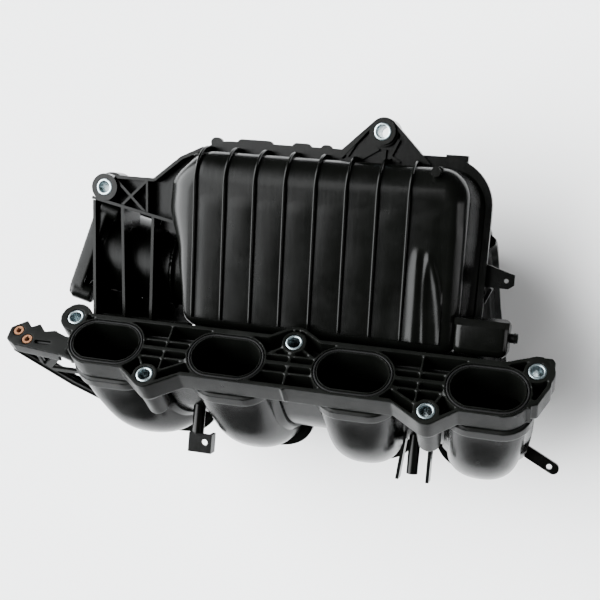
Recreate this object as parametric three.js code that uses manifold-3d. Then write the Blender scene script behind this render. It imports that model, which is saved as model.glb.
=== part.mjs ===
// Moulded intake manifold for a four-cylinder engine: a plenum with the four runners wrapped under it.
// Millimetres, +Z up. The manifold lies on the backs of its runners, with the plenum face up.
// The origin is on the head flange face, midway between the second and third ports.

import * as THREE from 'three';
import { mergeVertices } from 'three/addons/utils/BufferGeometryUtils.js';
import Module from 'manifold-3d';

const wasm = await Module();
wasm.setup();

// ---------- driving dimensions ----------
const GAP = 0.3;                                  // clearance between neighbouring pieces
const FLANGE_TILT = THREE.MathUtils.degToRad(40); // head flange face, tilted back from the plenum face
const PORT_PITCH = 98;
const PORT_X = [-1.5, -0.5, 0.5, 1.5].map((n) => n * PORT_PITCH);
const PORT = { a: 26.4, b: 15.6 };                // half length and half height of a port
const WALL = 3;

const FLANGE = { thick: 20, floor: 3, collar: 34, rim: 3, top: 24, bottom: 21 };
const SEAL = { lip: 1.3, width: 2.3, wall: 1.6, depth: 3.2 };
const BUSH = { outer: 6.7, inner: 4.4, land: 3, fit: 0.15 };
const END_BOLT = { x: 179.6, y: 19.2 };
const MID_BOLT = { x: 0, y: 19.5 };
const LOW_BOLT = { x: 107, y: -24 };
const LOW_BOSS = { length: 26, tip: 8.4, bore: 4.7 }; // tapered bolt guide behind each low bolt

const RUNNER = {
  a: 25, b: 20, mouthA: 22,
  straight: 78, bend: 62, back: 72, entry: 30,
  rim: 3.6, rimThick: 2.4,
};
const MOUTH = { pitch: 60, shift: 12.5 };
const BAND = { s: 139, thick: 3.5, height: 8 };

const WELD_Z = -55;
const FACE = { zTop: -16, zBottom: -30, yTop: 140, yBottom: 20, fillet: 13 };
const PLENUM = {
  x0: -108, x1: 129, y0: 14, y1: 153,
  cornerLow: 16, cornerHigh: 28,
  floorZ: -131,
  rim: 4, rimThick: 3.5,
};
const LEDGE = 9;                                  // overhang of the weld ledge along the top wall
const RIB = { count: 8, x0: -89, pitch: 23.6, foot: 23, thick: 2.2, proud: 4 };
const FAIRING = { x: 88, yTop: 96, yLow: 16, r0: 19, r1: 3, flatten: 0.55 };
const LOCATOR = { x: 94, y: 149, z0: -44, z1: -14, r: 3.8 };

const LEFT_LUG = { x: -177, y: 118 };
const TOP_LUG = { x: 47, y: 177 };
const LUG = { top: -43.5, depth: 24, r: 11 };

const THROTTLE = {
  x: -196, y: 68, z: -93,
  elbowX: -152, y0: 55,
  bore: 31, outer: 35,
  half: 43, bolt: 36, thick: 11,
  bossDepth: 20,
};

const ARC_STEPS = 6;                              // straight steps in a half circle

// ---------- helpers ----------
const range = (n) => [...Array(n).keys()];
const lerp = THREE.MathUtils.lerp;

function place(geometry, [x = 0, y = 0, z = 0] = [], [rx = 0, ry = 0, rz = 0] = []) {
  const matrix = new THREE.Matrix4().makeRotationFromEuler(new THREE.Euler(rx, ry, rz));
  matrix.setPosition(x, y, z);
  return geometry.applyMatrix4(matrix);
}

function solid(geometry) {
  geometry.deleteAttribute('normal');
  geometry.deleteAttribute('uv');
  const merged = mergeVertices(geometry, 1e-4);
  const mesh = new wasm.Mesh({
    numProp: 3,
    vertProperties: new Float32Array(merged.attributes.position.array),
    triVerts: new Uint32Array(merged.index.array),
  });
  return new wasm.Manifold(mesh);
}

const join = (...solids) => solids.flat().reduce((whole, piece) => whole.add(piece));
const cut = (body, ...tools) => tools.flat().reduce((whole, tool) => whole.subtract(tool), body);

function toGeometry(body) {
  const { vertProperties, triVerts } = body.getMesh();
  const geometry = new THREE.BufferGeometry();
  geometry.setAttribute('position', new THREE.BufferAttribute(new Float32Array(vertProperties), 3));
  geometry.setIndex(new THREE.BufferAttribute(new Uint32Array(triVerts), 1));
  geometry.computeVertexNormals();
  return geometry;
}

function box(x0, x1, y0, y1, z0, z1) {
  const geometry = new THREE.BoxGeometry(x1 - x0, y1 - y0, z1 - z0);
  return solid(place(geometry, [(x0 + x1) / 2, (y0 + y1) / 2, (z0 + z1) / 2]));
}

// a flat bar of the given thickness between two points of the XY plane
function bar([x0, y0], [x1, y1], thick, z0, z1) {
  const length = Math.hypot(x1 - x0, y1 - y0);
  const geometry = new THREE.BoxGeometry(length, thick, z1 - z0);
  const turn = Math.atan2(y1 - y0, x1 - x0);
  return solid(place(geometry, [(x0 + x1) / 2, (y0 + y1) / 2, (z0 + z1) / 2], [0, 0, turn]));
}

// upright cylinder, or cone when the top radius differs
function post(x, y, z0, z1, r0, r1 = r0, segments = 14) {
  const geometry = new THREE.CylinderGeometry(r1, r0, z1 - z0, segments);
  geometry.rotateX(Math.PI / 2);
  return solid(place(geometry, [x, y, (z0 + z1) / 2]));
}

function slab(shape, z0, z1, curveSegments = ARC_STEPS) {
  const geometry = new THREE.ExtrudeGeometry(shape, { depth: z1 - z0, bevelEnabled: false, curveSegments });
  return solid(place(geometry, [0, 0, z0]));
}

function racetrack(cx, cy, a, b) {
  const half = a - b;
  const shape = new THREE.Shape();
  shape.absarc(cx + half, cy, b, -Math.PI / 2, Math.PI / 2);
  shape.absarc(cx - half, cy, b, Math.PI / 2, Math.PI * 1.5);
  shape.closePath();
  return shape;
}

function roundedRect(x0, x1, y0, y1, low, high = low) {
  const shape = new THREE.Shape();
  shape.absarc(x1 - low, y0 + low, low, -Math.PI / 2, 0);
  shape.absarc(x1 - high, y1 - high, high, 0, Math.PI / 2);
  shape.absarc(x0 + high, y1 - high, high, Math.PI / 2, Math.PI);
  shape.absarc(x0 + low, y0 + low, low, Math.PI, Math.PI * 1.5);
  shape.closePath();
  return shape;
}

// a lobe round a bolt: an arc of radius r with straight flanks down to a base line at baseY
function lobe(cx, cy, r, baseY, leftX, rightX) {
  const up = Math.sign(cy - baseY);
  const tangent = (bx) => {
    const dx = bx - cx;
    const dy = baseY - cy;
    const away = Math.atan2(dy, dx);
    const spread = Math.acos(r / Math.hypot(dx, dy));
    return away + Math.sign(dx) * up * spread;
  };
  const [start, end] = up > 0 ? [tangent(rightX), tangent(leftX)] : [tangent(leftX), tangent(rightX)];
  const turn = (end - start + 4 * Math.PI) % (2 * Math.PI);
  const shape = new THREE.Shape();
  shape.moveTo(up > 0 ? leftX : rightX, baseY);
  shape.lineTo(up > 0 ? rightX : leftX, baseY);
  shape.absarc(cx, cy, r, start, start + turn);
  shape.closePath();
  return shape;
}

// closed solid through a list of rings of equal length; section gives the ring's 2-D outline for the end caps
function loft(rings, section) {
  const count = section.length;
  const positions = rings.flat().flatMap((p) => [p.x, p.y, p.z]);
  const index = [];
  range(rings.length - 1).forEach((k) => {
    range(count).forEach((i) => {
      const j = (i + 1) % count;
      const [a, b, c, d] = [k * count + i, k * count + j, (k + 1) * count + j, (k + 1) * count + i];
      index.push(a, b, c, a, c, d);
    });
  });
  const last = (rings.length - 1) * count;
  THREE.ShapeUtils.triangulateShape(section, []).forEach(([a, b, c]) => {
    index.push(a, c, b);
    index.push(last + a, last + b, last + c);
  });
  return new wasm.Manifold(new wasm.Mesh({
    numProp: 3,
    vertProperties: new Float32Array(positions),
    triVerts: new Uint32Array(index),
  }));
}

// ---------- materials ----------
const plastic = (color) => new THREE.MeshStandardMaterial({ color, roughness: 0.38, metalness: 0 });
const MATERIALS = {
  blackPlastic: plastic(0x17191a),
  rubber: new THREE.MeshStandardMaterial({ color: 0x101010, roughness: 0.8, metalness: 0 }),
  zinc: new THREE.MeshStandardMaterial({ color: 0xb9c4c6, roughness: 0.3, metalness: 1 }),
  brass: new THREE.MeshStandardMaterial({ color: 0xb5713f, roughness: 0.35, metalness: 1 }),
};

const manifoldGroup = new THREE.Group();
const flangeGroup = new THREE.Group();
flangeGroup.rotation.x = -FLANGE_TILT;
manifoldGroup.add(flangeGroup);

function addPiece(parent, name, body, material) {
  const mesh = new THREE.Mesh(toGeometry(body), material);
  mesh.name = name;
  parent.add(mesh);
  return mesh;
}

// ---------- head flange, in its own plane: z = 0 is the face that meets the head ----------
const boltHoles = [
  [-END_BOLT.x, END_BOLT.y],
  [-LOW_BOLT.x, LOW_BOLT.y],
  [MID_BOLT.x, MID_BOLT.y],
  [LOW_BOLT.x, LOW_BOLT.y],
  [END_BOLT.x, END_BOLT.y],
];

// the flange outline pulled in by inset, as one solid between z0 and z1
function flangeSlab(inset, z0, z1) {
  const top = FLANGE.top - inset;
  const bottom = FLANGE.bottom - inset;
  const endX = PORT_X[3] + PORT.a - PORT.b;
  const reach = BUSH.outer + 6;
  const body = box(-endX, endX, -bottom, top, z0, z1);
  const ends = [-1, 1].map((side) => post(side * endX, 0, z0, z1, bottom, bottom, 20));
  const shoulders = [-1, 1].map((side) => box(
    Math.min(side * (endX - 10), side * (endX + 10)),
    Math.max(side * (endX - 10), side * (endX + 10)),
    0, top, z0, z1,
  ));
  const lobes = [
    lobe(-END_BOLT.x, END_BOLT.y, reach - inset, -12, -endX - bottom, -END_BOLT.x + 50),
    lobe(END_BOLT.x, END_BOLT.y, reach - inset, -12, END_BOLT.x - 50, endX + bottom),
    lobe(MID_BOLT.x, MID_BOLT.y, reach + 1.5 - inset, 10, -42 + inset, 42 - inset),
    lobe(-LOW_BOLT.x, LOW_BOLT.y, reach - 2 - inset, -10, -LOW_BOLT.x - 36 + inset, -LOW_BOLT.x + 44 - inset),
    lobe(LOW_BOLT.x, LOW_BOLT.y, reach - 2 - inset, -10, LOW_BOLT.x - 44 + inset, LOW_BOLT.x + 36 - inset),
  ].map((shape) => slab(shape, z0, z1, 6));
  return join(body, ends, shoulders, lobes);
}

function flangeRibs(z0) {
  const webs = [
    { x: -PORT_PITCH, bolt: [-LOW_BOLT.x, LOW_BOLT.y], feet: [-20, 24] },
    { x: 0, bolt: [MID_BOLT.x, MID_BOLT.y], feet: [-22, 22] },
    { x: PORT_PITCH, bolt: [LOW_BOLT.x, LOW_BOLT.y], feet: [-24, 20] },
  ];
  return webs.flatMap(({ x, bolt, feet }) => {
    const footY = bolt[1] > 0 ? 5 : -6;
    return [
      bar([x - 24, 7.5], [x + 24, 7.5], 1.7, z0, -1),
      bar([x - 24, -7.5], [x + 24, -7.5], 1.7, z0, -1),
      bar([x - 24, 0], [x + 24, 0], 3.4, z0, 0),
      bar([x, -22], [x, 25], 1.7, z0, -1),
      bar(bolt, [x + feet[0], footY], 1.7, z0, -1),
      bar(bolt, [x + feet[1], footY], 1.7, z0, -1),
    ];
  });
}

function headFlange() {
  const floorZ = -FLANGE.thick + FLANGE.floor;
  const outer = SEAL.lip + SEAL.width + SEAL.wall;
  const ring = (x, grow, z0, z1) => slab(racetrack(x, 0, PORT.a + grow, PORT.b + grow), z0, z1, ARC_STEPS);
  const frameOnly = cut(flangeSlab(0, -FLANGE.thick, 0), flangeSlab(FLANGE.rim, floorZ, 1));
  const bosses = boltHoles.map(([x, y]) => post(x, y, floorZ - 1, 0, BUSH.outer + BUSH.land));
  const portWalls = PORT_X.map((x) => ring(x, outer, floorZ - 1, 0));
  const collars = PORT_X.map((x) => ring(x, WALL + 1.6, -FLANGE.collar, -FLANGE.thick + 1));
  const lowBosses = [-1, 1].map((side) => post(
    side * LOW_BOLT.x, LOW_BOLT.y,
    -FLANGE.thick - LOW_BOSS.length, -FLANGE.thick + 1,
    LOW_BOSS.tip, BUSH.outer + BUSH.land,
  ));
  const body = join(frameOnly, bosses, portWalls, flangeRibs(floorZ - 1), collars, lowBosses);
  const tunnels = PORT_X.map((x) => ring(x, 0, -FLANGE.collar - 1, 1));
  const grooves = PORT_X.map((x) => cut(
    ring(x, SEAL.lip + SEAL.width, -SEAL.depth, 1),
    ring(x, SEAL.lip, -SEAL.depth - 1, 2),
  ));
  const bushSeats = boltHoles.map(([x, y]) => post(x, y, -FLANGE.thick - GAP, 1, BUSH.outer + BUSH.fit));
  const boltWays = boltHoles.map(([x, y]) => post(x, y, -FLANGE.thick - 30, 0, LOW_BOSS.bore));
  return cut(body, tunnels, grooves, bushSeats, boltWays);
}

function bush(length) {
  const profile = [
    [BUSH.inner, 0],
    [BUSH.outer - 0.5, 0],
    [BUSH.outer, 0.5],
    [BUSH.outer, length - 0.5],
    [BUSH.outer - 0.5, length],
    [BUSH.inner, length],
    [BUSH.inner, 0],
  ].map(([r, z]) => new THREE.Vector2(r, z));
  const geometry = new THREE.LatheGeometry(profile, 14);
  return solid(geometry.rotateX(Math.PI / 2));
}

addPiece(flangeGroup, 'head_flange', headFlange(), MATERIALS.blackPlastic);
const flangeEndSpace = flangeSlab(-GAP, -FLANGE.thick - GAP, GAP);
const collarSpace = slab(
  racetrack(PORT_X[0], 0, PORT.a + WALL + 2, PORT.b + WALL + 2),
  -FLANGE.collar - GAP, 0,
);

PORT_X.forEach((x, i) => {
  const clear = 0.15;
  const inner = SEAL.lip + clear;
  const outer = SEAL.lip + SEAL.width - clear;
  const band = (grow, z0, z1) => slab(racetrack(x, 0, PORT.a + grow, PORT.b + grow), z0, z1, ARC_STEPS);
  const seal = cut(band(outer, -SEAL.depth + clear, -0.2), band(inner, -SEAL.depth - 1, 1));
  addPiece(flangeGroup, `port_seal_${i + 1}`, seal, MATERIALS.rubber);
});

boltHoles.forEach(([x, y], i) => {
  const mesh = addPiece(flangeGroup, `flange_bush_${i + 1}`, bush(FLANGE.thick), MATERIALS.zinc);
  mesh.position.set(x, y, -FLANGE.thick);
});

// ---------- runners: one plane path shared by all four, with its own sideways drift ----------
const BEND_TURN = Math.PI / 2 + FLANGE_TILT;
const START_S = FLANGE.collar + GAP;
const RUNNER_LENGTH = RUNNER.straight + RUNNER.bend * BEND_TURN + RUNNER.back + RUNNER.entry * Math.PI / 2;

// distance s from the flange face to a point of the path and its outward side, in the YZ plane
function runnerPath(s) {
  const heading0 = Math.PI * 1.5 - FLANGE_TILT;
  const walk = [
    { length: RUNNER.straight, radius: Infinity },
    { length: RUNNER.bend * BEND_TURN, radius: RUNNER.bend },
    { length: RUNNER.back, radius: Infinity },
    { length: RUNNER.entry * Math.PI / 2, radius: RUNNER.entry },
  ];
  let [y, z, heading, left] = [0, 0, heading0, s];
  walk.forEach(({ length, radius }) => {
    const step = Math.min(left, length);
    left -= step;
    const turn = step / radius;
    const chord = turn > 1e-9 ? 2 * radius * Math.sin(turn / 2) : step;
    y += chord * Math.cos(heading + turn / 2);
    z += chord * Math.sin(heading + turn / 2);
    heading += turn;
  });
  return { y, z, outY: Math.sin(heading), outZ: -Math.cos(heading) };
}

const runnerStations = () => {
  const bendEnd = RUNNER.straight + RUNNER.bend * BEND_TURN;
  const backEnd = bendEnd + RUNNER.back;
  return [
    START_S,
    lerp(START_S, RUNNER.straight, 0.5),
    ...range(7).map((k) => lerp(RUNNER.straight, bendEnd, k / 6)),
    lerp(bendEnd, backEnd, 0.5),
    ...range(4).map((k) => lerp(backEnd, RUNNER_LENGTH, k / 3)),
  ];
};

const mouthX = (i) => (i - 1.5) * MOUTH.pitch + MOUTH.shift;
const drift = (s) => THREE.MathUtils.smoothstep(s, START_S, RUNNER_LENGTH);
const runnerX = (i, s) => lerp(PORT_X[i], mouthX(i), drift(s));

function runnerSize(s) {
  const swell = THREE.MathUtils.smoothstep(s, START_S, RUNNER.straight + 20);
  const a = lerp(lerp(PORT.a, RUNNER.a, swell), RUNNER.mouthA, drift(s));
  return { a, b: lerp(PORT.b, RUNNER.b, swell), power: lerp(3.4, 2.3, swell) };
}

// a point of the oval section at angle t, grown by the wall
function ovalPoint({ a, b, power }, grow, t) {
  const bend = (v) => Math.sign(v) * Math.abs(v) ** (2 / power);
  return [(a + grow) * bend(Math.cos(t)), (b + grow) * bend(Math.sin(t))];
}

// half of the oval tube on one side of its middle plane, with a weld rim along both edges
function halfSection(size, side) {
  const steps = 7;
  const edge = GAP / 2;
  const low = RUNNER.rimThick + edge;
  const outer = range(steps + 1)
    .map((k) => ovalPoint(size, WALL, Math.PI * (0.06 + 0.88 * k / steps)))
    .map(([x, w]) => [x, Math.max(w, low)]);
  const inner = range(steps + 1)
    .map((k) => ovalPoint(size, 0, Math.PI * (1 - k / steps)))
    .map(([x, w]) => [x, Math.max(w, edge)]);
  const reach = size.a + WALL + RUNNER.rim;
  const ring = [[reach, edge], [reach, low], ...outer, [-reach, low], [-reach, edge], ...inner];
  const points = ring.map(([x, w]) => new THREE.Vector2(x, w * side));
  return side > 0 ? points : points.reverse();
}

function alongRunner(centreX, sectionAt, stations = runnerStations()) {
  const rings = stations.map((s) => {
    const { y, z, outY, outZ } = runnerPath(s);
    return sectionAt(s).map((p) => new THREE.Vector3(centreX(s) + p.x, y + p.y * outY, z + p.y * outZ));
  });
  return loft(rings, sectionAt(stations[0]));
}

// the whole oval section, grown by a margin
function fullSection(size, grow) {
  const steps = 16;
  return range(steps).map((k) => new THREE.Vector2(...ovalPoint(size, grow, 2 * Math.PI * k / steps)));
}

const runnerHalf = (i, side) => alongRunner((s) => runnerX(i, s), (s) => halfSection(runnerSize(s), side));

// the room a runner's round wall takes up, and the room its weld rims take up
const tubeSpace = (i) => alongRunner((s) => runnerX(i, s), (s) => fullSection(runnerSize(s), WALL + GAP));

function rimSpace(i, low = -RUNNER.b / 2) {
  const high = RUNNER.b / 2;
  const section = (s) => {
    const reach = runnerSize(s).a + WALL + RUNNER.rim + GAP;
    const corners = [[-reach, low], [reach, low], [reach, high], [-reach, high]];
    return corners.map((p) => new THREE.Vector2(...p));
  };
  return alongRunner((s) => runnerX(i, s), section);
}

// stiffening band round the outside of a cover, low on its bend
function coverBand(i) {
  const { s, thick, height } = BAND;
  const ends = [s, s + thick];
  const size = (at) => runnerSize(at);
  const section = (at) => {
    const outer = range(9).map((k) => ovalPoint(size(at), WALL + height, Math.PI * (0.04 + 0.92 * k / 8)));
    const inner = range(9).map((k) => ovalPoint(size(at), WALL - 1, Math.PI * (0.96 - 0.92 * k / 8)));
    return [...outer, ...inner].map(([x, w]) => new THREE.Vector2(x, w));
  };
  return alongRunner((at) => runnerX(i, at), section, ends);
}

PORT_X.forEach((_, i) => {
  const cover = join(runnerHalf(i, 1), coverBand(i));
  addPiece(manifoldGroup, `runner_cover_${i + 1}`, cover, MATERIALS.blackPlastic);
});

// ---------- inner runner shell: four inner halves, the webs that tie them, and the small fittings ----------
function web(i) {
  const left = (s) => runnerX(i, s) + runnerSize(s).a + WALL - 1;
  const right = (s) => runnerX(i + 1, s) - runnerSize(s).a - WALL + 1;
  const top = -GAP / 2;
  const section = (s) => {
    const half = (right(s) - left(s)) / 2;
    const corners = [[-half, top - WALL], [half, top - WALL], [half, top], [-half, top]];
    return corners.map(([x, w]) => new THREE.Vector2(x, w));
  };
  return alongRunner((s) => (left(s) + right(s)) / 2, section);
}

// a round peg lying along Y
const peg = (x, z, y0, y1, r) => post(x, 0, y0, y1, r, r, 16).rotate([-90, 0, 0]).translate([0, 0, z]);

// peg between two guard plates, under the third and fourth runners
const GUARDED_PEG = { x: 89, z: -70, y0: -86, y1: -50, r: 4.5, guard: 2.6 };

function pegWithGuards() {
  const { x, z, y0, y1, r, guard } = GUARDED_PEG;
  const plate = (head, foot) => bar([x + head, y1], [x + foot, y0 - 5], guard, z - 6, z + 5);
  return [peg(x, z, y0, y1, r), plate(-7, -11), plate(13, 13)];
}

// clip box on a round stem, under the first and second runners
const CLIP = { x: -87, z: -66, y0: -93, y1: -77, half: 10, wall: 2.5 };

function clipBox() {
  const { x, z, y0, y1, half, wall } = CLIP;
  const hollow = half - wall;
  const shell = cut(
    box(x - half, x + half, y0, y1, z - 8, z + 2),
    box(x - hollow, x + hollow, y0 + wall, y1 + 1, z - 9, z),
  );
  const window = post(x + 4, y0 + 9, z - 2, z + 4, 2.6, 2.6, 12);
  return [cut(shell, window), peg(x - 4, z - 3, y1 - 1, -50, 5)];
}

// drilled ear beside the fourth runner
const EAR = { root: [168, -54], tip: [196, -68], z: -77, half: 4.5, thick: 3.2 };

function sideEar() {
  const { root, tip, z, half, thick } = EAR;
  const [low, high] = [z - thick / 2, z + thick / 2];
  const ear = join(bar(root, tip, 2 * half, low, high), post(...tip, low, high, half, half, 16));
  return cut(ear, post(tip[0] - 3, tip[1] + 1, z - thick, z + thick, 2.2, 2.2, 12));
}

const innerShell = join(
  PORT_X.map((_, i) => runnerHalf(i, -1)),
  range(3).map(web),
);
const coverRoom = range(4).flatMap((i) => [tubeSpace(i), rimSpace(i, -GAP / 2)]);
const fittings = cut(join(pegWithGuards(), clipBox(), sideEar()), coverRoom);
addPiece(manifoldGroup, 'runner_inner_shell', join(innerShell, fittings), MATERIALS.blackPlastic);

// ---------- threaded inserts: open sleeves that stand in their boss, top face at z = 0 ----------
const INSERT = { outer: 4.6, inner: 2.6, length: 14 };
const BRACKET_INSERT = { outer: 4.4, inner: 2.6, length: 10 };

function insert({ outer, inner, length }) {
  const body = post(0, 0, -length, 0, outer, outer, 16);
  const bore = post(0, 0, -length - 1, 1, inner, inner, 12);
  return cut(body, bore);
}

// ---------- throttle duct: from the left wall of the rear shell out to the throttle face ----------
const ductEnds = {
  wall: [PLENUM.x0 - GAP, THROTTLE.y0],
  elbow: [THROTTLE.elbowX, THROTTLE.y0],
  face: [THROTTLE.x, THROTTLE.y],
};

// solid round duct with a radius that grows from the wall to the throttle face
function duct(wallRadius, faceRadius, overrun) {
  const ends = Object.values(ductEnds).map((p) => new THREE.Vector2(...p));
  const curve = new THREE.QuadraticBezierCurve(...ends);
  const steps = 3;
  const segments = 18;
  const section = range(segments).map((k) => {
    const angle = 2 * Math.PI * k / segments;
    return new THREE.Vector2(Math.cos(angle), Math.sin(angle));
  });
  const ringAt = (t, push) => {
    const p = curve.getPoint(t);
    const d = curve.getTangent(t);
    const r = lerp(wallRadius, faceRadius, THREE.MathUtils.smoothstep(t, 0, 1));
    return section.map(({ x, y }) => new THREE.Vector3(
      p.x + d.x * push + r * y * d.y,
      p.y + d.y * push - r * y * d.x,
      THROTTLE.z + r * x,
    ));
  };
  const middle = range(steps + 1).map((k) => ringAt(k / steps, 0));
  const rings = overrun > 0 ? [ringAt(0, -overrun), ...middle, ringAt(1, overrun)] : middle;
  return loft(rings, section);
}

const throttleTurn = THREE.MathUtils.radToDeg(Math.atan2(
  THROTTLE.y - THROTTLE.y0,
  THROTTLE.elbowX - THROTTLE.x,
));
const onThrottleFace = (body) => (
  body.rotate([90, 0, -90 - throttleTurn]).translate([THROTTLE.x, THROTTLE.y, THROTTLE.z])
);

function throttlePlate(grow) {
  const { half, thick } = THROTTLE;
  const reach = half + grow;
  return slab(roundedRect(-reach, reach, -reach, reach, 10), -thick - grow, grow, 5);
}

const throttleCorners = [[-1, -1], [1, -1], [1, 1], [-1, 1]].map(([sx, sy]) => [
  sx * THROTTLE.bolt,
  sy * THROTTLE.bolt,
]);

const throttleBosses = (grow) => throttleCorners.map(([x, y]) => (
  post(x, y, -THROTTLE.bossDepth - grow, -5, 7 + grow, 8 + grow, 16)
));

function throttleDuct() {
  const { bore, outer } = THROTTLE;
  const seatR = INSERT.outer + 0.2;
  const seats = throttleCorners.map(([x, y]) => post(x, y, -INSERT.length - 0.5, 1, seatR, seatR, 16));
  const groove = cut(
    post(0, 0, -SEAL.depth, 1, bore + 5.5, bore + 5.5, 24),
    post(0, 0, -SEAL.depth - 1, 2, bore + 2.5, bore + 2.5, 24),
  );
  const plate = cut(join(throttlePlate(0), throttleBosses(0)), seats);
  const body = join(duct(bore + WALL, outer, 0), onThrottleFace(plate));
  return cut(body, duct(bore, bore, 5), onThrottleFace(groove));
}

function throttleSeal() {
  const { bore } = THROTTLE;
  const ring = cut(
    post(0, 0, -SEAL.depth + 0.15, -0.2, bore + 5.3, bore + 5.3, 24),
    post(0, 0, -9, 2, bore + 2.7, bore + 2.7, 24),
  );
  return onThrottleFace(ring);
}

const throttleSpace = join(
  duct(THROTTLE.bore + WALL + GAP, THROTTLE.outer + GAP, 0),
  onThrottleFace(join(throttlePlate(GAP), throttleBosses(GAP))),
);

// ---------- left bracket, in the flange's own plane ----------
const BRACKET = {
  top: -6, thick: 4,
  v0: -9, v1: 12,
  tip: -234, root: -183,
  inserts: [[-226, 4], [-216, -3]],
};

function polygon(points) {
  const shape = new THREE.Shape();
  shape.setFromPoints(points.map(([x, y]) => new THREE.Vector2(x, y)));
  return shape;
}

function leftBracket() {
  const { top, thick, v0, v1, tip, root } = BRACKET;
  const deck = slab(polygon([
    [tip, v0 + 5], [tip + 8, v0], [root - 2, v0 - 4], [root - 2, 2], [root - 12, 8],
    [-204, 6], [-210, v1], [-216, 8], [-222, v1 + 2], [tip, v1 - 6],
  ]), top - thick, top);
  const pads = BRACKET.inserts.map(([x, v]) => post(x, v, top - 12, top, 6.4, 6.4, 16));
  const frame = polygon([
    [tip + 2, top - 14], [tip + 2, top - 1], [root - 2, top - 1], [-170, -40], [-172, -88], [-196, -66],
  ]);
  const windows = [
    [[-226, -19], [-214, -13], [-214, -34]],
    [[-210, -12], [-188, -12], [-211, -38]],
    [[-185, -17], [-178, -42], [-206, -42]],
    [[-204, -47], [-178, -47], [-178, -74]],
  ].map(polygon);
  // the frame is drawn in x and depth, and stands across the flange plane
  const upright = (shape, a, b) => slab(shape, a, b).rotate([90, 0, 0]);
  const inFlange = (body) => body.rotate([THREE.MathUtils.radToDeg(FLANGE_TILT), 0, 0]);
  const truss = cut(upright(frame, 3, 6), windows.map((w) => upright(w, -5, 20)));
  const seats = BRACKET.inserts.map(([x, v]) => post(x, v, top - 10.5, top + 1, 4.6, 4.6, 16));
  const runnerRoom = [tubeSpace(0), rimSpace(0)].map(inFlange);
  return cut(join(deck, pads, truss), seats, flangeEndSpace, collarSpace, runnerRoom);
}

// ---------- plenum ----------
// rounded rectangle as a ring of points, CCW seen from above; heightAt gives z for each y
function roundedRing({ x0, x1, y0, y1, cornerLow, cornerHigh }, inset, heightAt) {
  const steps = 4;
  const low = Math.max(cornerLow - inset, 2);
  const high = Math.max(cornerHigh - inset, 2);
  const centres = [
    [x1 - inset - low, y0 + inset + low, low, -0.5],
    [x1 - inset - high, y1 - inset - high, high, 0],
    [x0 + inset + high, y1 - inset - high, high, 0.5],
    [x0 + inset + low, y0 + inset + low, low, 1],
  ];
  return centres.flatMap(([cx, cy, r, start]) => range(steps + 1).map((k) => {
    const angle = Math.PI * (start + 0.5 * k / steps);
    const [x, y] = [cx + r * Math.cos(angle), cy + r * Math.sin(angle)];
    return new THREE.Vector3(x, y, heightAt(y));
  }));
}

const faceZ = (y) => lerp(FACE.zBottom, FACE.zTop, (y - FACE.yBottom) / (FACE.yTop - FACE.yBottom));

// one wall surface of the front tub, from the weld plane up to its face
function frontSurface(inset) {
  const steps = 4;
  const f = FACE.fillet;
  const low = roundedRing(PLENUM, inset, () => WELD_Z + GAP / 2);
  const curve = range(steps + 1).map((k) => {
    const angle = Math.PI / 2 * k / steps;
    const pull = f * (1 - Math.cos(angle));
    return roundedRing(PLENUM, inset + pull, (y) => faceZ(y) - inset - f * (1 - Math.sin(angle)));
  });
  return [low, ...curve];
}

function rearSurface(inset) {
  const steps = 4;
  const f = FACE.fillet;
  const top = roundedRing(PLENUM, inset, () => WELD_Z - GAP / 2);
  const curve = range(steps + 1).map((k) => {
    const angle = Math.PI / 2 * k / steps;
    const pull = f * (1 - Math.cos(angle));
    return roundedRing(PLENUM, inset + pull, () => PLENUM.floorZ + GAP + inset + f * (1 - Math.sin(angle)));
  });
  return [top, ...curve];
}

const flatten = (ring) => ring.map((p) => new THREE.Vector2(p.x, p.y));

function tub(outside, inside) {
  const rings = [...inside.toReversed(), ...outside];
  return loft(rings, flatten(rings[0]));
}

function weldRim(z0, z1) {
  const { x0, x1, y0, y1, cornerLow, cornerHigh, rim } = PLENUM;
  const outline = roundedRect(x0 - rim, x1 + rim, y0 - rim, y1 + LEDGE, cornerLow + rim, cornerHigh + LEDGE);
  const outer = slab(outline, z0, z1, 5);
  const inside = roundedRect(x0 + 1, x1 - 1, y0 + 1, y1 - 1, cornerLow - 1, cornerHigh - 1);
  return cut(outer, slab(inside, z0 - 1, z1 + 1, 4));
}

// thin rib over the face, standing proud of it and running down the top fillet onto the ledge
function faceRib(x) {
  const { yTop, fillet } = FACE;
  const { foot } = RIB;
  const edge = PLENUM.y1 + RIB.proud;
  const round = fillet + RIB.proud;
  const root = WALL / 2;
  const shape = new THREE.Shape();
  const topZ = faceZ(yTop) + RIB.proud;
  shape.moveTo(foot, faceZ(foot) + RIB.proud - 1);
  shape.lineTo(edge - round, topZ);
  shape.absarc(edge - round, topZ - round, round, Math.PI / 2, 0, true);
  shape.lineTo(edge, WELD_Z + 3);
  shape.lineTo(edge - RIB.proud - root, WELD_Z + 3);
  shape.absarc(edge - round, topZ - round, fillet - root, 0, Math.PI / 2);
  shape.lineTo(foot, faceZ(foot) - root);
  shape.closePath();
  const body = slab(shape, -RIB.thick / 2, RIB.thick / 2, 5);
  return body.rotate([90, 0, 90]).translate([x, 0, 0]);
}

// bell-shaped swelling low on the face
function fairing() {
  const { x, yTop, yLow, r0, r1 } = FAIRING;
  const middle = (yTop + yLow) / 2;
  const geometry = new THREE.CylinderGeometry(r1, r0, yTop - yLow, 14);
  geometry.scale(1, 1, FAIRING.flatten);
  return solid(place(geometry, [x, middle, faceZ(middle) - 3], [0.06, 0, 0]));
}

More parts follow.
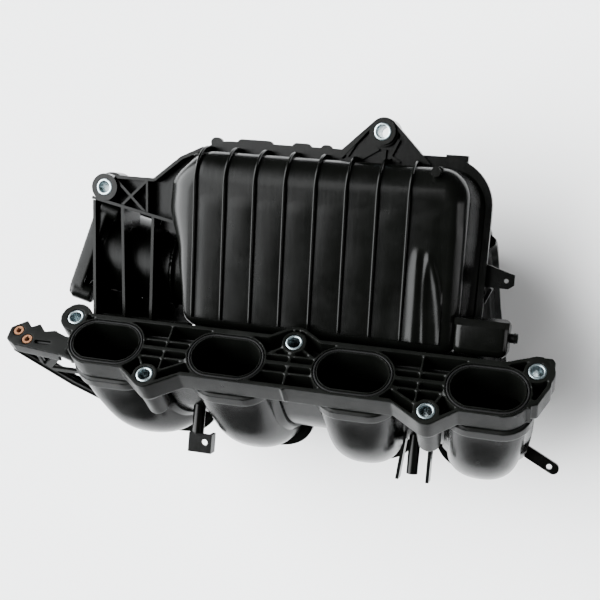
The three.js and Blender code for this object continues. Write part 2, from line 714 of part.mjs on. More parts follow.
function topLug() {
  const { x, y } = TOP_LUG;
  const low = WELD_Z + GAP / 2;
  const edge = PLENUM.y1 + 2;
  const plate = slab(lobe(x, y, LUG.r, edge, x - 40, x + 40), low, low + 3, 8);
  const boss = post(x, y, LUG.top - LUG.depth, LUG.top, LUG.r);
  const ribs = [[-36, -24], [-18, -7], [-4, 1], [16, 8], [30, 20]].map(([foot, head]) => (
    bar([x + foot, edge], [x + head * 0.35, y - 6], 2, low, LUG.top - 2)
  ));
  return [plate, boss, ribs].flat();
}

const LEFT_SHEET = [[-188, 109], [-132, 97], [-132, 88], [-106, 84], [-98, 153], [-136, 126], [-172, 126]];

function leftLug() {
  const { x, y } = LEFT_LUG;
  const [low, high] = [-78, -45];
  const boss = post(x, y, LUG.top - LUG.depth, LUG.top, LUG.r);
  const uprights = [[-179, -186, 107], [-153, -161, 104], [-130, -134, 98]].map(([foot, head, top]) => (
    bar([foot, 12], [head, top], 2.6, low, high)
  ));
  const level = [
    bar([-188, 109], [-106, 93], 2.6, low, high),
    bar([-170, 126], [-136, 126], 3, low, high - 2),
    bar([-136, 126], [-98, 153], 3, low, high - 4),
    bar([-163, 103], [-140, 125], 2.2, low, high - 2),
    bar([-168, 124], [-140, 99], 2.2, low, high - 2),
  ];
  const sheet = slab(polygon(LEFT_SHEET), -62, -58);
  return [boss, uprights, level, sheet].flat();
}

// hollow box beside the plenum that carries the vacuum nipple
const TAP = { x0: 104, x1: 156, y0: 18, y1: 45, z0: -50, z1: -27 };
const NIPPLE = { y: 33, z: -38, r: 3.6, inner: 2, length: 6 };

const tapBox = (inset) => (
  box(TAP.x0 + inset, TAP.x1 - inset, TAP.y0 + inset, TAP.y1 - inset, TAP.z0 + inset, TAP.z1 - inset)
);

const alongX = (y, z, x0, x1, r, segments = 14) => (
  post(0, 0, x0, x1, r, r, segments).rotate([0, 90, 0]).translate([0, y, z])
);

// everything below the weld plane belongs to the rear shell
function rearSpace() {
  const { x0, x1, y0, y1, cornerLow, cornerHigh, floorZ, rim } = PLENUM;
  const grow = rim + GAP;
  const top = y1 + LEDGE + GAP;
  const outline = roundedRect(x0 - grow, x1 + grow, y0 - grow, top, cornerLow + grow, cornerHigh + LEDGE);
  return slab(outline, floorZ, WELD_Z + GAP / 2, 5);
}

function plenumFront() {
  const shell = tub(frontSurface(0), frontSurface(WALL));
  const hollow = loft(frontSurface(WALL), flatten(frontSurface(WALL)[0]));
  const ribs = range(RIB.count).map((k) => faceRib(RIB.x0 + k * RIB.pitch));
  const rim = weldRim(WELD_Z + GAP / 2, WELD_Z + PLENUM.rimThick);
  const locator = post(LOCATOR.x, LOCATOR.y, LOCATOR.z0, LOCATOR.z1, LOCATOR.r, LOCATOR.r, 12);
  const whole = join(shell, rim, ribs, fairing(), topLug(), leftLug(), tapBox(0), locator);
  const bores = [LEFT_LUG, TOP_LUG].map(({ x, y }) => post(x, y, -90, 0, BUSH.outer + BUSH.fit));
  const tapBore = alongX(NIPPLE.y, NIPPLE.z, 100, 170, NIPPLE.r + 0.15);
  return cut(whole, hollow, tapBox(2.5), bores, tapBore, throttleSpace, rearSpace());
}

function plenumRear() {
  const rings = [...rearSurface(0).toReversed(), ...rearSurface(WALL)];
  const shell = loft(rings, flatten(rings[0]));
  const rim = weldRim(WELD_Z - PLENUM.rimThick, WELD_Z - GAP / 2);
  const tab = cut(box(127, 154, 67, 80, -62, -58), post(147, 73, -64, -57, 2.3, 2.3, 12));
  const bumps = [[-88, 5], [-56, 15], [-18, 8], [2, 5]].map(([x, half]) => (
    slab(racetrack(x, PLENUM.y1 + LEDGE - 1.5, half, 4), WELD_Z - PLENUM.rimThick, WELD_Z - GAP / 2, 5)
  ));
  const catchTab = box(94, 111, 158, 164, -66, -60);
  const whole = join(shell, rim, tab, bumps, catchTab, box(94, 111, 150, 160, -62, -58.2));
  const mouthY = runnerPath(RUNNER_LENGTH).y;
  const mouths = range(4).map((i) => slab(
    racetrack(mouthX(i), mouthY, RUNNER.mouthA, RUNNER.b), PLENUM.floorZ - 5, PLENUM.floorZ + 8, 7,
  ));
  const inlet = alongX(THROTTLE.y0, THROTTLE.z, PLENUM.x0 - 20, PLENUM.x0 + 12, THROTTLE.bore, 20);
  return cut(whole, mouths, inlet);
}

addPiece(manifoldGroup, 'plenum_front_shell', plenumFront(), MATERIALS.blackPlastic);
addPiece(manifoldGroup, 'plenum_rear_shell', plenumRear(), MATERIALS.blackPlastic);

[['support_bush_left', LEFT_LUG], ['support_bush_top', TOP_LUG]].forEach(([name, { x, y }]) => {
  const mesh = addPiece(manifoldGroup, name, bush(LUG.depth), MATERIALS.zinc);
  mesh.position.set(x, y, LUG.top - LUG.depth);
});

// ---------- pieces held in the throttle face ----------
throttleCorners.forEach(([x, y], i) => {
  const body = onThrottleFace(insert(INSERT).translate([x, y, 0]));
  addPiece(manifoldGroup, `throttle_insert_${i + 1}`, body, MATERIALS.brass);
});
addPiece(manifoldGroup, 'throttle_duct', throttleDuct(), MATERIALS.blackPlastic);
addPiece(manifoldGroup, 'throttle_seal', throttleSeal(), MATERIALS.rubber);

// ---------- vacuum nipple ----------
function nipple() {
  const { y, z, r, inner, length } = NIPPLE;
  const x = TAP.x1;
  const barb = alongX(y, z, x + length - 2.5, x + length - 1, r + 0.6);
  const stem = alongX(y, z, x - 2.5, x + length, r);
  return cut(join(stem, barb), alongX(y, z, x - 10, x + length + 5, inner));
}

addPiece(manifoldGroup, 'vacuum_nipple', nipple(), MATERIALS.blackPlastic);

// ---------- left bracket: a trussed arm off the end of the head flange ----------
addPiece(flangeGroup, 'left_bracket', leftBracket(), MATERIALS.blackPlastic);
BRACKET.inserts.forEach(([x, v], i) => {
  const body = insert(BRACKET_INSERT).translate([x, v, BRACKET.top]);
  addPiece(flangeGroup, `bracket_insert_${i + 1}`, body, MATERIALS.brass);
});

export default manifoldGroup;
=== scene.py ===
"""Looks of the intake manifold: smooth moulded shells, turned bushes and procedural materials.

Shapes are built in millimetres in the row frame and turned into metres when they are finished.
"""

import math

import bmesh
import bpy
from mathutils import Matrix, Vector


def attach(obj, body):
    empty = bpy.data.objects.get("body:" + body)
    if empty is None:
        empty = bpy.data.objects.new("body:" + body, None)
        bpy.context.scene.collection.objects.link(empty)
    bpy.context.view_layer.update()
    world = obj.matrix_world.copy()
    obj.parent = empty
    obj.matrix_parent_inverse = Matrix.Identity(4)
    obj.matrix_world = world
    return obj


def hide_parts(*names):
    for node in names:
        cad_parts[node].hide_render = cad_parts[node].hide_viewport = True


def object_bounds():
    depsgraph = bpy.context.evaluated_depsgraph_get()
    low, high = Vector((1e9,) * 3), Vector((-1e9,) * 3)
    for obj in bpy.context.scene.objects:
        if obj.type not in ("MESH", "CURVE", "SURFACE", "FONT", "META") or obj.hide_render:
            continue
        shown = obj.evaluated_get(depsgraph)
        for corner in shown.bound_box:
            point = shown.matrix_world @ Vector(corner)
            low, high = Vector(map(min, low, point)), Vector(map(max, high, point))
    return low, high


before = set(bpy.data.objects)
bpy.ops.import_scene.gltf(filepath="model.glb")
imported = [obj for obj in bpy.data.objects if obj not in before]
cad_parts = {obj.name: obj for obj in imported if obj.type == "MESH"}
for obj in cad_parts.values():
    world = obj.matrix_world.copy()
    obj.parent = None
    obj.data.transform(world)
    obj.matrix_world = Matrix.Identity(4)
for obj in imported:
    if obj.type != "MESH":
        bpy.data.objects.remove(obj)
cad_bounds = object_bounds()

MM = 0.001
TAU = 2 * math.pi

# ---------- driving dimensions, shared with the CAD ----------
GAP = 0.3
TILT = math.radians(40)
PORT_X = [-147, -49, 49, 147]
PORT_A, PORT_B = 26.4, 15.6
WALL = 3

FLANGE_THICK, FLANGE_FLOOR, FLANGE_COLLAR, FLANGE_RIM = 20, 3, 34, 3
FLANGE_TOP, FLANGE_BOTTOM = 24, 21
SEAL_LIP, SEAL_WIDTH, SEAL_WALL, SEAL_DEPTH = 1.3, 2.3, 1.6, 3.2
BUSH_OUTER, BUSH_INNER, BUSH_LAND, BUSH_FIT = 6.7, 4.4, 3, 0.15
END_BOLT, MID_BOLT, LOW_BOLT = (179.6, 19.2), (0, 19.5), (107, -24)
LOW_BOSS_LENGTH, LOW_BOSS_TIP, LOW_BOSS_BORE = 26, 8.4, 4.7
BOLTS = [
    (-END_BOLT[0], END_BOLT[1]),
    (-LOW_BOLT[0], LOW_BOLT[1]),
    MID_BOLT,
    LOW_BOLT,
    END_BOLT,
]

RUN_A, RUN_B, MOUTH_A = 25, 20, 22
STRAIGHT, BEND_R, BACK, ENTRY_R = 78, 62, 72, 30
RIM, RIM_THICK = 3.6, 2.4
MOUTH_PITCH, MOUTH_SHIFT = 60, 12.5
BAND_S, BAND_THICK, BAND_HEIGHT = 139, 3.5, 8

WELD_Z = -55
FACE_TOP_Z, FACE_LOW_Z, FACE_TOP_Y, FACE_LOW_Y = -16, -30, 140, 20
X0, X1, Y0, Y1 = -108, 129, 14, 153
CORNER_LOW, CORNER_HIGH = 16, 28
FLOOR_Z = -131
P_RIM, P_RIM_THICK = 4, 3.5
LEDGE = 9
RIB_X = [-89 + 23.6 * k for k in range(8)]
RIB_FOOT, RIB_THICK, RIB_PROUD = 23, 2.2, 4

LEFT_LUG, TOP_LUG = (-177, 118), (47, 177)
LUG_TOP, LUG_DEPTH, LUG_R = -43.5, 24, 11

THROTTLE = dict(
    x=-196, y=68, z=-93, elbow_x=-152, y0=55, bore=31, outer=35, half=43, bolt=36, thick=11, boss=20
)
INSERT_OUTER, INSERT_INNER, INSERT_LENGTH = 4.6, 2.6, 14
SMALL_OUTER, SMALL_LENGTH = 4.4, 10


# ---------- solids ----------
def solid(points, faces):
    """A closed mesh object from millimetre points, with its faces turned outwards."""
    mesh = bpy.data.meshes.new("work")
    mesh.from_pydata([tuple(p) for p in points], [], faces)
    shape = bmesh.new()
    shape.from_mesh(mesh)
    bmesh.ops.recalc_face_normals(shape, faces=shape.faces)
    shape.to_mesh(mesh)
    shape.free()
    made = bpy.data.objects.new("work", mesh)
    bpy.context.scene.collection.objects.link(made)
    return made


def loft(rings):
    """A closed solid through rings of equal length, with a flat cap at each end."""
    count = len(rings[0])
    points = [p for ring in rings for p in ring]
    faces = [tuple(range(count))[::-1]]
    for k in range(len(rings) - 1):
        for i in range(count):
            j = (i + 1) % count
            faces.append((k * count + i, k * count + j, (k + 1) * count + j, (k + 1) * count + i))
    last = (len(rings) - 1) * count
    faces.append(tuple(range(last, last + count)))
    return solid(points, faces)


def wrapped(rings):
    """A closed ring-shaped solid: each ring of points joins the next, and the last joins the first."""
    count, total = len(rings[0]), len(rings)
    faces = []
    for k in range(total):
        n = (k + 1) % total
        for i in range(count):
            j = (i + 1) % count
            faces.append((k * count + i, n * count + i, n * count + j, k * count + j))
    return solid([p for ring in rings for p in ring], faces)


def turned(profile, steps=64):
    """A ring turned round Z from a closed profile of (radius, z)."""
    turns = [TAU * k / steps for k in range(steps)]
    return wrapped([[(r * math.cos(a), r * math.sin(a), z) for r, z in profile] for a in turns])


def prism(outline, z0, z1):
    return loft([[(x, y, z0) for x, y in outline], [(x, y, z1) for x, y in outline]])


def box(x0, x1, y0, y1, z0, z1):
    return prism([(x0, y0), (x1, y0), (x1, y1), (x0, y1)], z0, z1)


def circle(cx, cy, r, steps=48):
    return [(cx + r * math.cos(TAU * k / steps), cy + r * math.sin(TAU * k / steps)) for k in range(steps)]


def post(x, y, z0, z1, r0, r1=None, steps=48):
    """An upright cylinder, or a cone when the top radius differs."""
    r1 = r0 if r1 is None else r1
    return loft([[(px, py, z) for px, py in circle(x, y, r, steps)] for z, r in ((z0, r0), (z1, r1))])


def bar(p, q, thick, z0, z1):
    """A flat upright bar between two points of the XY plane."""
    length = math.dist(p, q)
    ux, uy = (q[0] - p[0]) / length, (q[1] - p[1]) / length
    sx, sy = -uy * thick / 2, ux * thick / 2
    outline = [(p[0] - sx, p[1] - sy), (q[0] - sx, q[1] - sy), (q[0] + sx, q[1] + sy), (p[0] + sx, p[1] + sy)]
    return prism(outline, z0, z1)


def arc(cx, cy, r, start, end, steps):
    turns = [start + (end - start) * k / steps for k in range(steps + 1)]
    return [(cx + r * math.cos(turn), cy + r * math.sin(turn)) for turn in turns]


def racetrack(cx, cy, a, b, steps=24):
    half = a - b
    right = arc(cx + half, cy, b, -math.pi / 2, math.pi / 2, steps)
    return right + arc(cx - half, cy, b, math.pi / 2, math.pi * 1.5, steps)


def rounded_rect(x0, x1, y0, y1, low, high=None, steps=14):
    high = low if high is None else high
    quarters = [
        (x1 - low, y0 + low, low, -0.5),
        (x1 - high, y1 - high, high, 0),
        (x0 + high, y1 - high, high, 0.5),
        (x0 + low, y0 + low, low, 1),
    ]
    return [p for cx, cy, r, s in quarters for p in arc(cx, cy, r, math.pi * s, math.pi * (s + 0.5), steps)]


def lobe(cx, cy, r, base_y, left_x, right_x, steps=30):
    """The outline of a lobe round a bolt: an arc with straight flanks down to a base line."""
    up = 1 if cy > base_y else -1

    def tangent(bx):
        dx, dy = bx - cx, base_y - cy
        return math.atan2(dy, dx) + math.copysign(1, dx) * up * math.acos(r / math.hypot(dx, dy))

    start, end = (tangent(right_x), tangent(left_x)) if up > 0 else (tangent(left_x), tangent(right_x))
    turn = (end - start) % TAU
    base = [(left_x, base_y), (right_x, base_y)] if up > 0 else [(right_x, base_y), (left_x, base_y)]
    return base + arc(cx, cy, r, start, start + turn, steps)


def evaluate(thing):
    """Makes the modifiers' result the object's own mesh."""
    graph = bpy.context.evaluated_depsgraph_get()
    mesh = bpy.data.meshes.new_from_object(thing.evaluated_get(graph))
    thing.modifiers.clear()
    old = thing.data
    thing.data = mesh
    bpy.data.meshes.remove(old)
    return thing


def flat_list(things):
    """The things inside nested lists and tuples, in order."""
    flat = []
    for thing in things:
        flat += flat_list(thing) if isinstance(thing, (list, tuple)) else [thing]
    return flat


def boolean(base, tools, operation):
    tools = flat_list(tools)
    for tool in tools:
        step = base.modifiers.new("boolean", "BOOLEAN")
        step.operation = operation
        step.solver = "MANIFOLD"
        step.object = tool
    evaluate(base)
    for tool in tools:
        mesh = tool.data
        bpy.data.objects.remove(tool)
        bpy.data.meshes.remove(mesh)
    return base


def join(*things):
    first, *rest = flat_list(things)
    return boolean(first, rest, "UNION")


def cut(body, *tools):
    return boolean(body, tools, "DIFFERENCE")


def moved(thing, matrix):
    thing.data.transform(matrix)
    return thing


def at(thing, x, y, z):
    return moved(thing, Matrix.Translation((x, y, z)))


def mould(thing, voxel, smooth, keep):
    """Rounds every edge and fills every corner a little, then keeps a share of the faces."""
    remesh = thing.modifiers.new("remesh", "REMESH")
    remesh.mode = "VOXEL"
    remesh.voxel_size = voxel
    soften = thing.modifiers.new("soften", "SMOOTH")
    soften.factor = 0.5
    soften.iterations = smooth
    thin = thing.modifiers.new("thin", "DECIMATE")
    thin.ratio = keep
    return evaluate(thing)


def piece(name, thing, material, nodes, sharp=35):
    """Finishes a solid: metres, shading, material, and its place in the frame."""
    thing.data.transform(Matrix.Scale(MM, 4))
    thing.name = name
    thing.data.name = name
    thing.data.shade_smooth()
    thing.data.set_sharp_from_angle(angle=math.radians(sharp))
    thing.data.materials.clear()
    thing.data.materials.append(material)
    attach(thing, "root")
    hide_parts(*nodes)
    return thing


TO_ROW = Matrix.Rotation(-TILT, 4, "X")
TO_FLANGE = Matrix.Rotation(TILT, 4, "X")


# ---------- materials ----------
SPECULAR = 0.1  # low, so that black plastic and rubber stay dark over the bright floor
MIX_LOW, MIX_HIGH, MIX_RESULT = 6, 7, 2  # the colour sockets of a Mix node


class Nodes:
    """A small helper for a procedural material."""

    def __init__(self, name):
        self.material = bpy.data.materials.new(name)
        self.material.use_nodes = True
        self.tree = self.material.node_tree
        self.shader = self.tree.nodes["Principled BSDF"]
        self.place = self.add("ShaderNodeTexCoord").outputs["Object"]

    def add(self, kind, **values):
        node = self.tree.nodes.new(kind)
        for key, value in values.items():
            if key in node.inputs:
                node.inputs[key].default_value = value
            else:
                setattr(node, key, value)
        return node

    def link(self, a, b):
        self.tree.links.new(a, b)

    def noise(self, scale, detail=3, roughness=0.5, stretch=(1, 1, 1)):
        where = self.add("ShaderNodeMapping")
        where.inputs["Scale"].default_value = stretch
        self.link(self.place, where.inputs["Vector"])
        node = self.add("ShaderNodeTexNoise", Scale=scale, Detail=detail, Roughness=roughness)
        self.link(where.outputs["Vector"], node.inputs["Vector"])
        return node.outputs["Fac"]

    def ramp(self, source, low, high, start=0.3, end=0.7):
        node = self.add("ShaderNodeMapRange")
        for key, value in (("From Min", start), ("From Max", end), ("To Min", low), ("To Max", high)):
            node.inputs[key].default_value = value
        self.link(source, node.inputs["Value"])
        return node.outputs["Result"]

    def mix(self, factor, low, high):
        node = self.add("ShaderNodeMix", data_type="RGBA")
        node.inputs[MIX_LOW].default_value = (*low, 1)
        node.inputs[MIX_HIGH].default_value = (*high, 1)
        self.link(factor, node.inputs["Factor"])
        return node.outputs[MIX_RESULT]

    def bump(self, height, strength, distance, below=None):
        node = self.add("ShaderNodeBump", Strength=strength, Distance=distance)
        self.link(height, node.inputs["Height"])
        if below:
            self.link(below, node.inputs["Normal"])
        return node.outputs["Normal"]


def moulded_plastic(name, dark, light, rough_low, rough_high, grain, flow):
    """Glass-filled nylon: faint fibre grain, flow marks and patches of different gloss."""
    n = Nodes(name)
    patches = n.noise(26, detail=4, roughness=0.55)
    n.link(n.mix(n.ramp(patches, 0, 1, start=0.35, end=0.7), dark, light), n.shader.inputs["Base Color"])
    gloss = n.ramp(n.noise(60, detail=5, roughness=0.6), rough_low, rough_high)
    n.link(gloss, n.shader.inputs["Roughness"])
    streaks = n.noise(55, detail=2, roughness=0.4, stretch=(6, 0.5, 1))
    fibre = n.bump(n.noise(2600, detail=2, roughness=0.6), strength=grain, distance=0.00012)
    flow_marks = n.bump(streaks, strength=flow, distance=0.0006, below=fibre)
    n.link(flow_marks, n.shader.inputs["Normal"])
    n.shader.inputs["Specular IOR Level"].default_value = SPECULAR
    return n.material


def mottled(name, colour, gloss, grain, metallic=0):
    """A patchy surface. colour is (noise, dark, light), gloss (noise, low, high), grain (noise, depth)."""
    n = Nodes(name)
    n.shader.inputs["Metallic"].default_value = metallic
    for (noise, low, high), make, socket in ((colour, n.mix, "Base Color"), (gloss, n.ramp, "Roughness")):
        n.link(make(n.noise(*noise), low, high), n.shader.inputs[socket])
    noise, depth = grain
    n.link(n.bump(n.noise(*noise), depth, 0.0001), n.shader.inputs["Normal"])
    return n


def black_rubber(name):
    dark, light = (0.002, 0.002, 0.002), (0.004, 0.004, 0.004)
    n = mottled(name, ((300, 3), dark, light), ((400, 3), 0.5, 0.7), ((1800, 2), 0.3))
    n.shader.inputs["Specular IOR Level"].default_value = SPECULAR
    return n.material


def bare_metal(name, colour, gloss, depth):
    return mottled(name, colour, gloss, ((1500, 3), depth), metallic=1).material


SHELL = moulded_plastic(
    "plastic_shell", (0.0008, 0.0009, 0.0007), (0.0016, 0.0018, 0.0015),
    rough_low=0.17, rough_high=0.28, grain=0.25, flow=0.05,
)
SATIN = moulded_plastic(
    "plastic_satin", (0.0013, 0.0015, 0.0012), (0.0028, 0.0031, 0.0026),
    rough_low=0.26, rough_high=0.42, grain=0.45, flow=0.04,
)
RUBBER = black_rubber("seal_rubber")
ZINC_COLOUR = ((420, 3), (0.2, 0.27, 0.29), (0.4, 0.46, 0.48))
STEEL = bare_metal("zinc_steel", ZINC_COLOUR, ((900, 3), 0.22, 0.42), 0.25)
BRASS_COLOUR = ((500, 4), (0.16, 0.07, 0.035), (0.3, 0.15, 0.085))
BRASS = bare_metal("insert_brass", BRASS_COLOUR, ((700, 3), 0.28, 0.5), 0.3)


# ---------- head flange, in its own plane ----------
COLLAR_GROW, BAND_GROW, BAND_DEEP = WALL + 1.6, WALL + 4.0, 10.5


def flange_slab(inset, z0, z1):
    """The flange's plate, drawn in on every side by an inset."""
    top, bottom = FLANGE_TOP - inset, FLANGE_BOTTOM - inset
    end_x = PORT_X[3] + PORT_A - PORT_B
    reach = BUSH_OUTER + 6
    ex, ey = END_BOLT
    mx, my = MID_BOLT
    lx, ly = LOW_BOLT
    parts = [box(-end_x, end_x, -bottom, top, z0, z1)]
    for side in (-1, 1):
        near, far = sorted((side * (end_x - 10), side * (end_x + 10)))
        parts += [post(side * end_x, 0, z0, z1, bottom, steps=96), box(near, far, 0, top, z0, z1)]
    outlines = [
        lobe(-ex, ey, reach - inset, -12, -end_x - bottom, -ex + 50),
        lobe(ex, ey, reach - inset, -12, ex - 50, end_x + bottom),
        lobe(mx, my, reach + 1.5 - inset, 10, -42 + inset, 42 - inset),
        lobe(-lx, ly, reach - 2 - inset, -10, -lx - 36 + inset, -lx + 44 - inset),
        lobe(lx, ly, reach - 2 - inset, -10, lx - 44 + inset, lx + 36 - inset),
    ]
    horn = [
        (ex - 24, 24), (ex - 4, 31), (ex + 9.5, 31.5), (ex + 12, 28),
        (ex + 10.5, 8), (ex + 3, -8), (ex - 14, -12),
    ]
    cx, cy = ex - 4, 14
    shrink = 1 - inset / 16
    outlines.append([(cx + (x - cx) * shrink, cy + (y - cy) * shrink) for x, y in horn][::-1])
    return join(parts, [prism(o, z0, z1) for o in outlines])


def flange_ribs(z0):
    """Between each pair of ports: three level ribs, one upright and two struts from the bolt."""
    thin, thick, crest = 1.9, 3.4, -0.7
    lx, ly = LOW_BOLT
    webs = [(-98, (-lx, ly), (-20, 24)), (0, MID_BOLT, (-22, 22)), (98, (lx, ly), (-24, 20))]
    made = []
    for x, bolt, feet in webs:
        foot_y = 5 if bolt[1] > 0 else -6
        made += [
            bar((x - 24, 7.5), (x + 24, 7.5), thin, z0, crest),
            bar((x - 24, -7.5), (x + 24, -7.5), thin, z0, crest),
            bar((x - 24, 0), (x + 24, 0), thick, z0, 0),
            bar((x, -22), (x, 25), thin, z0, crest),
            bar(bolt, (x + feet[0], foot_y), thin, z0, crest),
            bar(bolt, (x + feet[1], foot_y), thin, z0, crest),
        ]
    return made


def head_flange():
    floor_z = -FLANGE_THICK + FLANGE_FLOOR
    outer = SEAL_LIP + SEAL_WIDTH + SEAL_WALL

    def ring(x, grow, z0, z1):
        return prism(racetrack(x, 0, PORT_A + grow, PORT_B + grow), z0, z1)

    shell = cut(flange_slab(0, -FLANGE_THICK, 0), flange_slab(FLANGE_RIM, floor_z, 1))
    bosses = [post(x, y, floor_z - 1, 0, BUSH_OUTER + BUSH_LAND) for x, y in BOLTS]
    walls = [ring(x, outer, floor_z - 1, 0) for x in PORT_X]
    collars = [ring(x, COLLAR_GROW, -FLANGE_COLLAR, -FLANGE_THICK + 1) for x in PORT_X]
    bands = [ring(x, BAND_GROW, -FLANGE_COLLAR, -FLANGE_COLLAR + BAND_DEEP) for x in PORT_X]
    low_z = -FLANGE_THICK - LOW_BOSS_LENGTH
    low = [
        post(x, LOW_BOLT[1], low_z, -FLANGE_THICK + 1, LOW_BOSS_TIP, BUSH_OUTER + BUSH_LAND)
        for x in (-LOW_BOLT[0], LOW_BOLT[0])
    ]
    body = join(shell, bosses, walls, flange_ribs(floor_z - 1), collars, bands, low)
    tunnels = [ring(x, 0, -FLANGE_COLLAR - 1, 1) for x in PORT_X]
    grooves = [
        cut(ring(x, SEAL_LIP + SEAL_WIDTH, -SEAL_DEPTH, 1), ring(x, SEAL_LIP, -SEAL_DEPTH - 1, 2))
        for x in PORT_X
    ]
    seats = [post(x, y, -FLANGE_THICK - GAP, 1, BUSH_OUTER + BUSH_FIT) for x, y in BOLTS]
    ways = [post(x, y, -FLANGE_THICK - 30, 0, LOW_BOSS_BORE) for x, y in BOLTS]
    return cut(body, tunnels, grooves, seats, ways)


def bush(length):
    """A compression bush with a rolled inner edge and a chamfered outer edge."""
    o, i = BUSH_OUTER, BUSH_INNER
    return turned([
        (i, 1.0), (i + 0.25, 0.3), (i + 0.8, 0), (o - 0.9, 0), (o - 0.25, 0.25), (o, 0.8),
        (o, length - 0.8), (o - 0.25, length - 0.25), (o - 0.9, length), (i + 0.8, length),
        (i + 0.25, length - 0.3), (i, length - 1.0),
    ])


flange = mould(head_flange(), voxel=0.75, smooth=3, keep=0.35)
piece("head_flange_moulding", moved(flange, TO_ROW), SATIN, ["head_flange"])


def port_seal(x):
    """A seal that fills its groove, with a low crowned lip."""
    grow, half = SEAL_LIP + SEAL_WIDTH / 2, SEAL_WIDTH / 2 - 0.15
    profile = [
        (-half, -3.05), (half, -3.05), (half, -0.9), (half - 0.45, -0.35),
        (0, -0.2), (-half + 0.45, -0.35), (-half, -0.9),
    ]
    return wrapped([
        [(px, py, z) for px, py in racetrack(x, 0, PORT_A + grow + dx, PORT_B + grow + dx)]
        for dx, z in profile
    ])


for i, x in enumerate(PORT_X):
    seal = moved(port_seal(x), TO_ROW)
    piece(f"port_seal_ring_{i + 1}", seal, RUBBER, [f"port_seal_{i + 1}"], sharp=50)

for i, (x, y) in enumerate(BOLTS):
    sleeve = moved(at(bush(FLANGE_THICK), x, y, -FLANGE_THICK), TO_ROW)
    piece(f"flange_sleeve_{i + 1}", sleeve, STEEL, [f"flange_bush_{i + 1}"])

# ---------- runners ----------
BEND_TURN = math.pi / 2 + TILT
START_S = FLANGE_COLLAR + GAP
LENGTH = STRAIGHT + BEND_R * BEND_TURN + BACK + ENTRY_R * math.pi / 2


def smoothstep(x, a, b):
    t = min(max((x - a) / (b - a), 0), 1)
    return t * t * (3 - 2 * t)


def lerp(a, b, t):
    return a + (b - a) * t


def run_path(s):
    """The point at distance s from the flange face, and the outward side, in the YZ plane."""
    y = z = 0.0
    heading = math.pi * 1.5 - TILT
    walk = [(STRAIGHT, 1e12), (BEND_R * BEND_TURN, BEND_R), (BACK, 1e12), (ENTRY_R * math.pi / 2, ENTRY_R)]
    left = s
    for length, radius in walk:
        step = min(left, length)
        left -= step
        turn = step / radius
        chord = 2 * radius * math.sin(turn / 2) if turn > 1e-6 else step
        y += chord * math.cos(heading + turn / 2)
        z += chord * math.sin(heading + turn / 2)
        heading += turn
    return y, z, math.sin(heading), -math.cos(heading)


def drift(s):
    return smoothstep(s, START_S, LENGTH)


def run_x(i, s):
    return lerp(PORT_X[i], (i - 1.5) * MOUTH_PITCH + MOUTH_SHIFT, drift(s))


def run_size(s):
    swell = smoothstep(s, START_S, STRAIGHT + 20)
    a = lerp(lerp(PORT_A, RUN_A, swell), MOUTH_A, drift(s))
    return a, lerp(PORT_B, RUN_B, swell), lerp(3.4, 2.3, swell)


def oval(size, grow, t):
    a, b, power = size
    c, s = math.cos(t), math.sin(t)
    return (
        (a + grow) * math.copysign(abs(c) ** (2 / power), c),
        (b + grow) * math.copysign(abs(s) ** (2 / power), s),
    )


def half_section(size, side, steps=30):
    edge = GAP / 2
    low = RIM_THICK + edge
    reach = size[0] + WALL + RIM
    outer = [oval(size, WALL, math.pi * (0.06 + 0.88 * k / steps)) for k in range(steps + 1)]
    inner = [oval(size, 0, math.pi * (1 - k / steps)) for k in range(steps + 1)]
    ring = [(reach, edge), (reach, low - 0.6), (reach - 0.6, low)]
    ring += [(x, max(w, low)) for x, w in outer]
    ring += [(-reach + 0.6, low), (-reach, low - 0.6), (-reach, edge)]
    ring += [(x, max(w, edge)) for x, w in inner]
    return [(x, w * side) for x, w in ring]


def along(centre_x, section_at, stations):
    rings = []
    for s in stations:
        y, z, out_y, out_z = run_path(s)
        rings.append([(centre_x(s) + x, y + w * out_y, z + w * out_z) for x, w in section_at(s)])
    return loft(rings)


STATIONS = [START_S + (LENGTH - START_S) * k / 84 for k in range(85)]


def runner_half(i, side):
    return along(lambda s: run_x(i, s), lambda s: half_section(run_size(s), side), STATIONS)


def cover_band(i):
    def section(s):
        outer = [oval(run_size(s), WALL + BAND_HEIGHT, math.pi * (0.04 + 0.92 * k / 30)) for k in range(31)]
        inner = [oval(run_size(s), WALL - 1, math.pi * (0.96 - 0.92 * k / 30)) for k in range(31)]
        return outer + inner

    return along(lambda s: run_x(i, s), section, [BAND_S, BAND_S + BAND_THICK])


for i in range(4):
    cover = join(runner_half(i, 1), cover_band(i))
    piece(f"runner_cover_moulding_{i + 1}", cover, SHELL, [f"runner_cover_{i + 1}"])


def tube_space(i):
    def section(s):
        return [oval(run_size(s), WALL + GAP, TAU * k / 48) for k in range(48)]

    return along(lambda s: run_x(i, s), section, STATIONS[::2])


def rim_space(i, low=-RUN_B / 2):
    high = RUN_B / 2

    def section(s):
        reach = run_size(s)[0] + WALL + RIM + GAP
        return [(-reach, low), (reach, low), (reach, high), (-reach, high)]

    return along(lambda s: run_x(i, s), section, STATIONS[::2])


def web(i):
    def left(s):
        return run_x(i, s) + run_size(s)[0] + WALL - 1

    def right(s):
        return run_x(i + 1, s) - run_size(s)[0] - WALL + 1

    def section(s):
        half = (right(s) - left(s)) / 2
        top = -GAP / 2
        return [(-half, top - WALL), (half, top - WALL), (half, top), (-half, top)]

    return along(lambda s: (left(s) + right(s)) / 2, section, STATIONS[::2])


def peg(x, z, y0, y1, r):
    """A round peg lying along Y."""
    turn = Matrix.Translation((0, 0, z)) @ Matrix.Rotation(math.radians(-90), 4, "X")
    return moved(post(x, 0, y0, y1, r), turn)


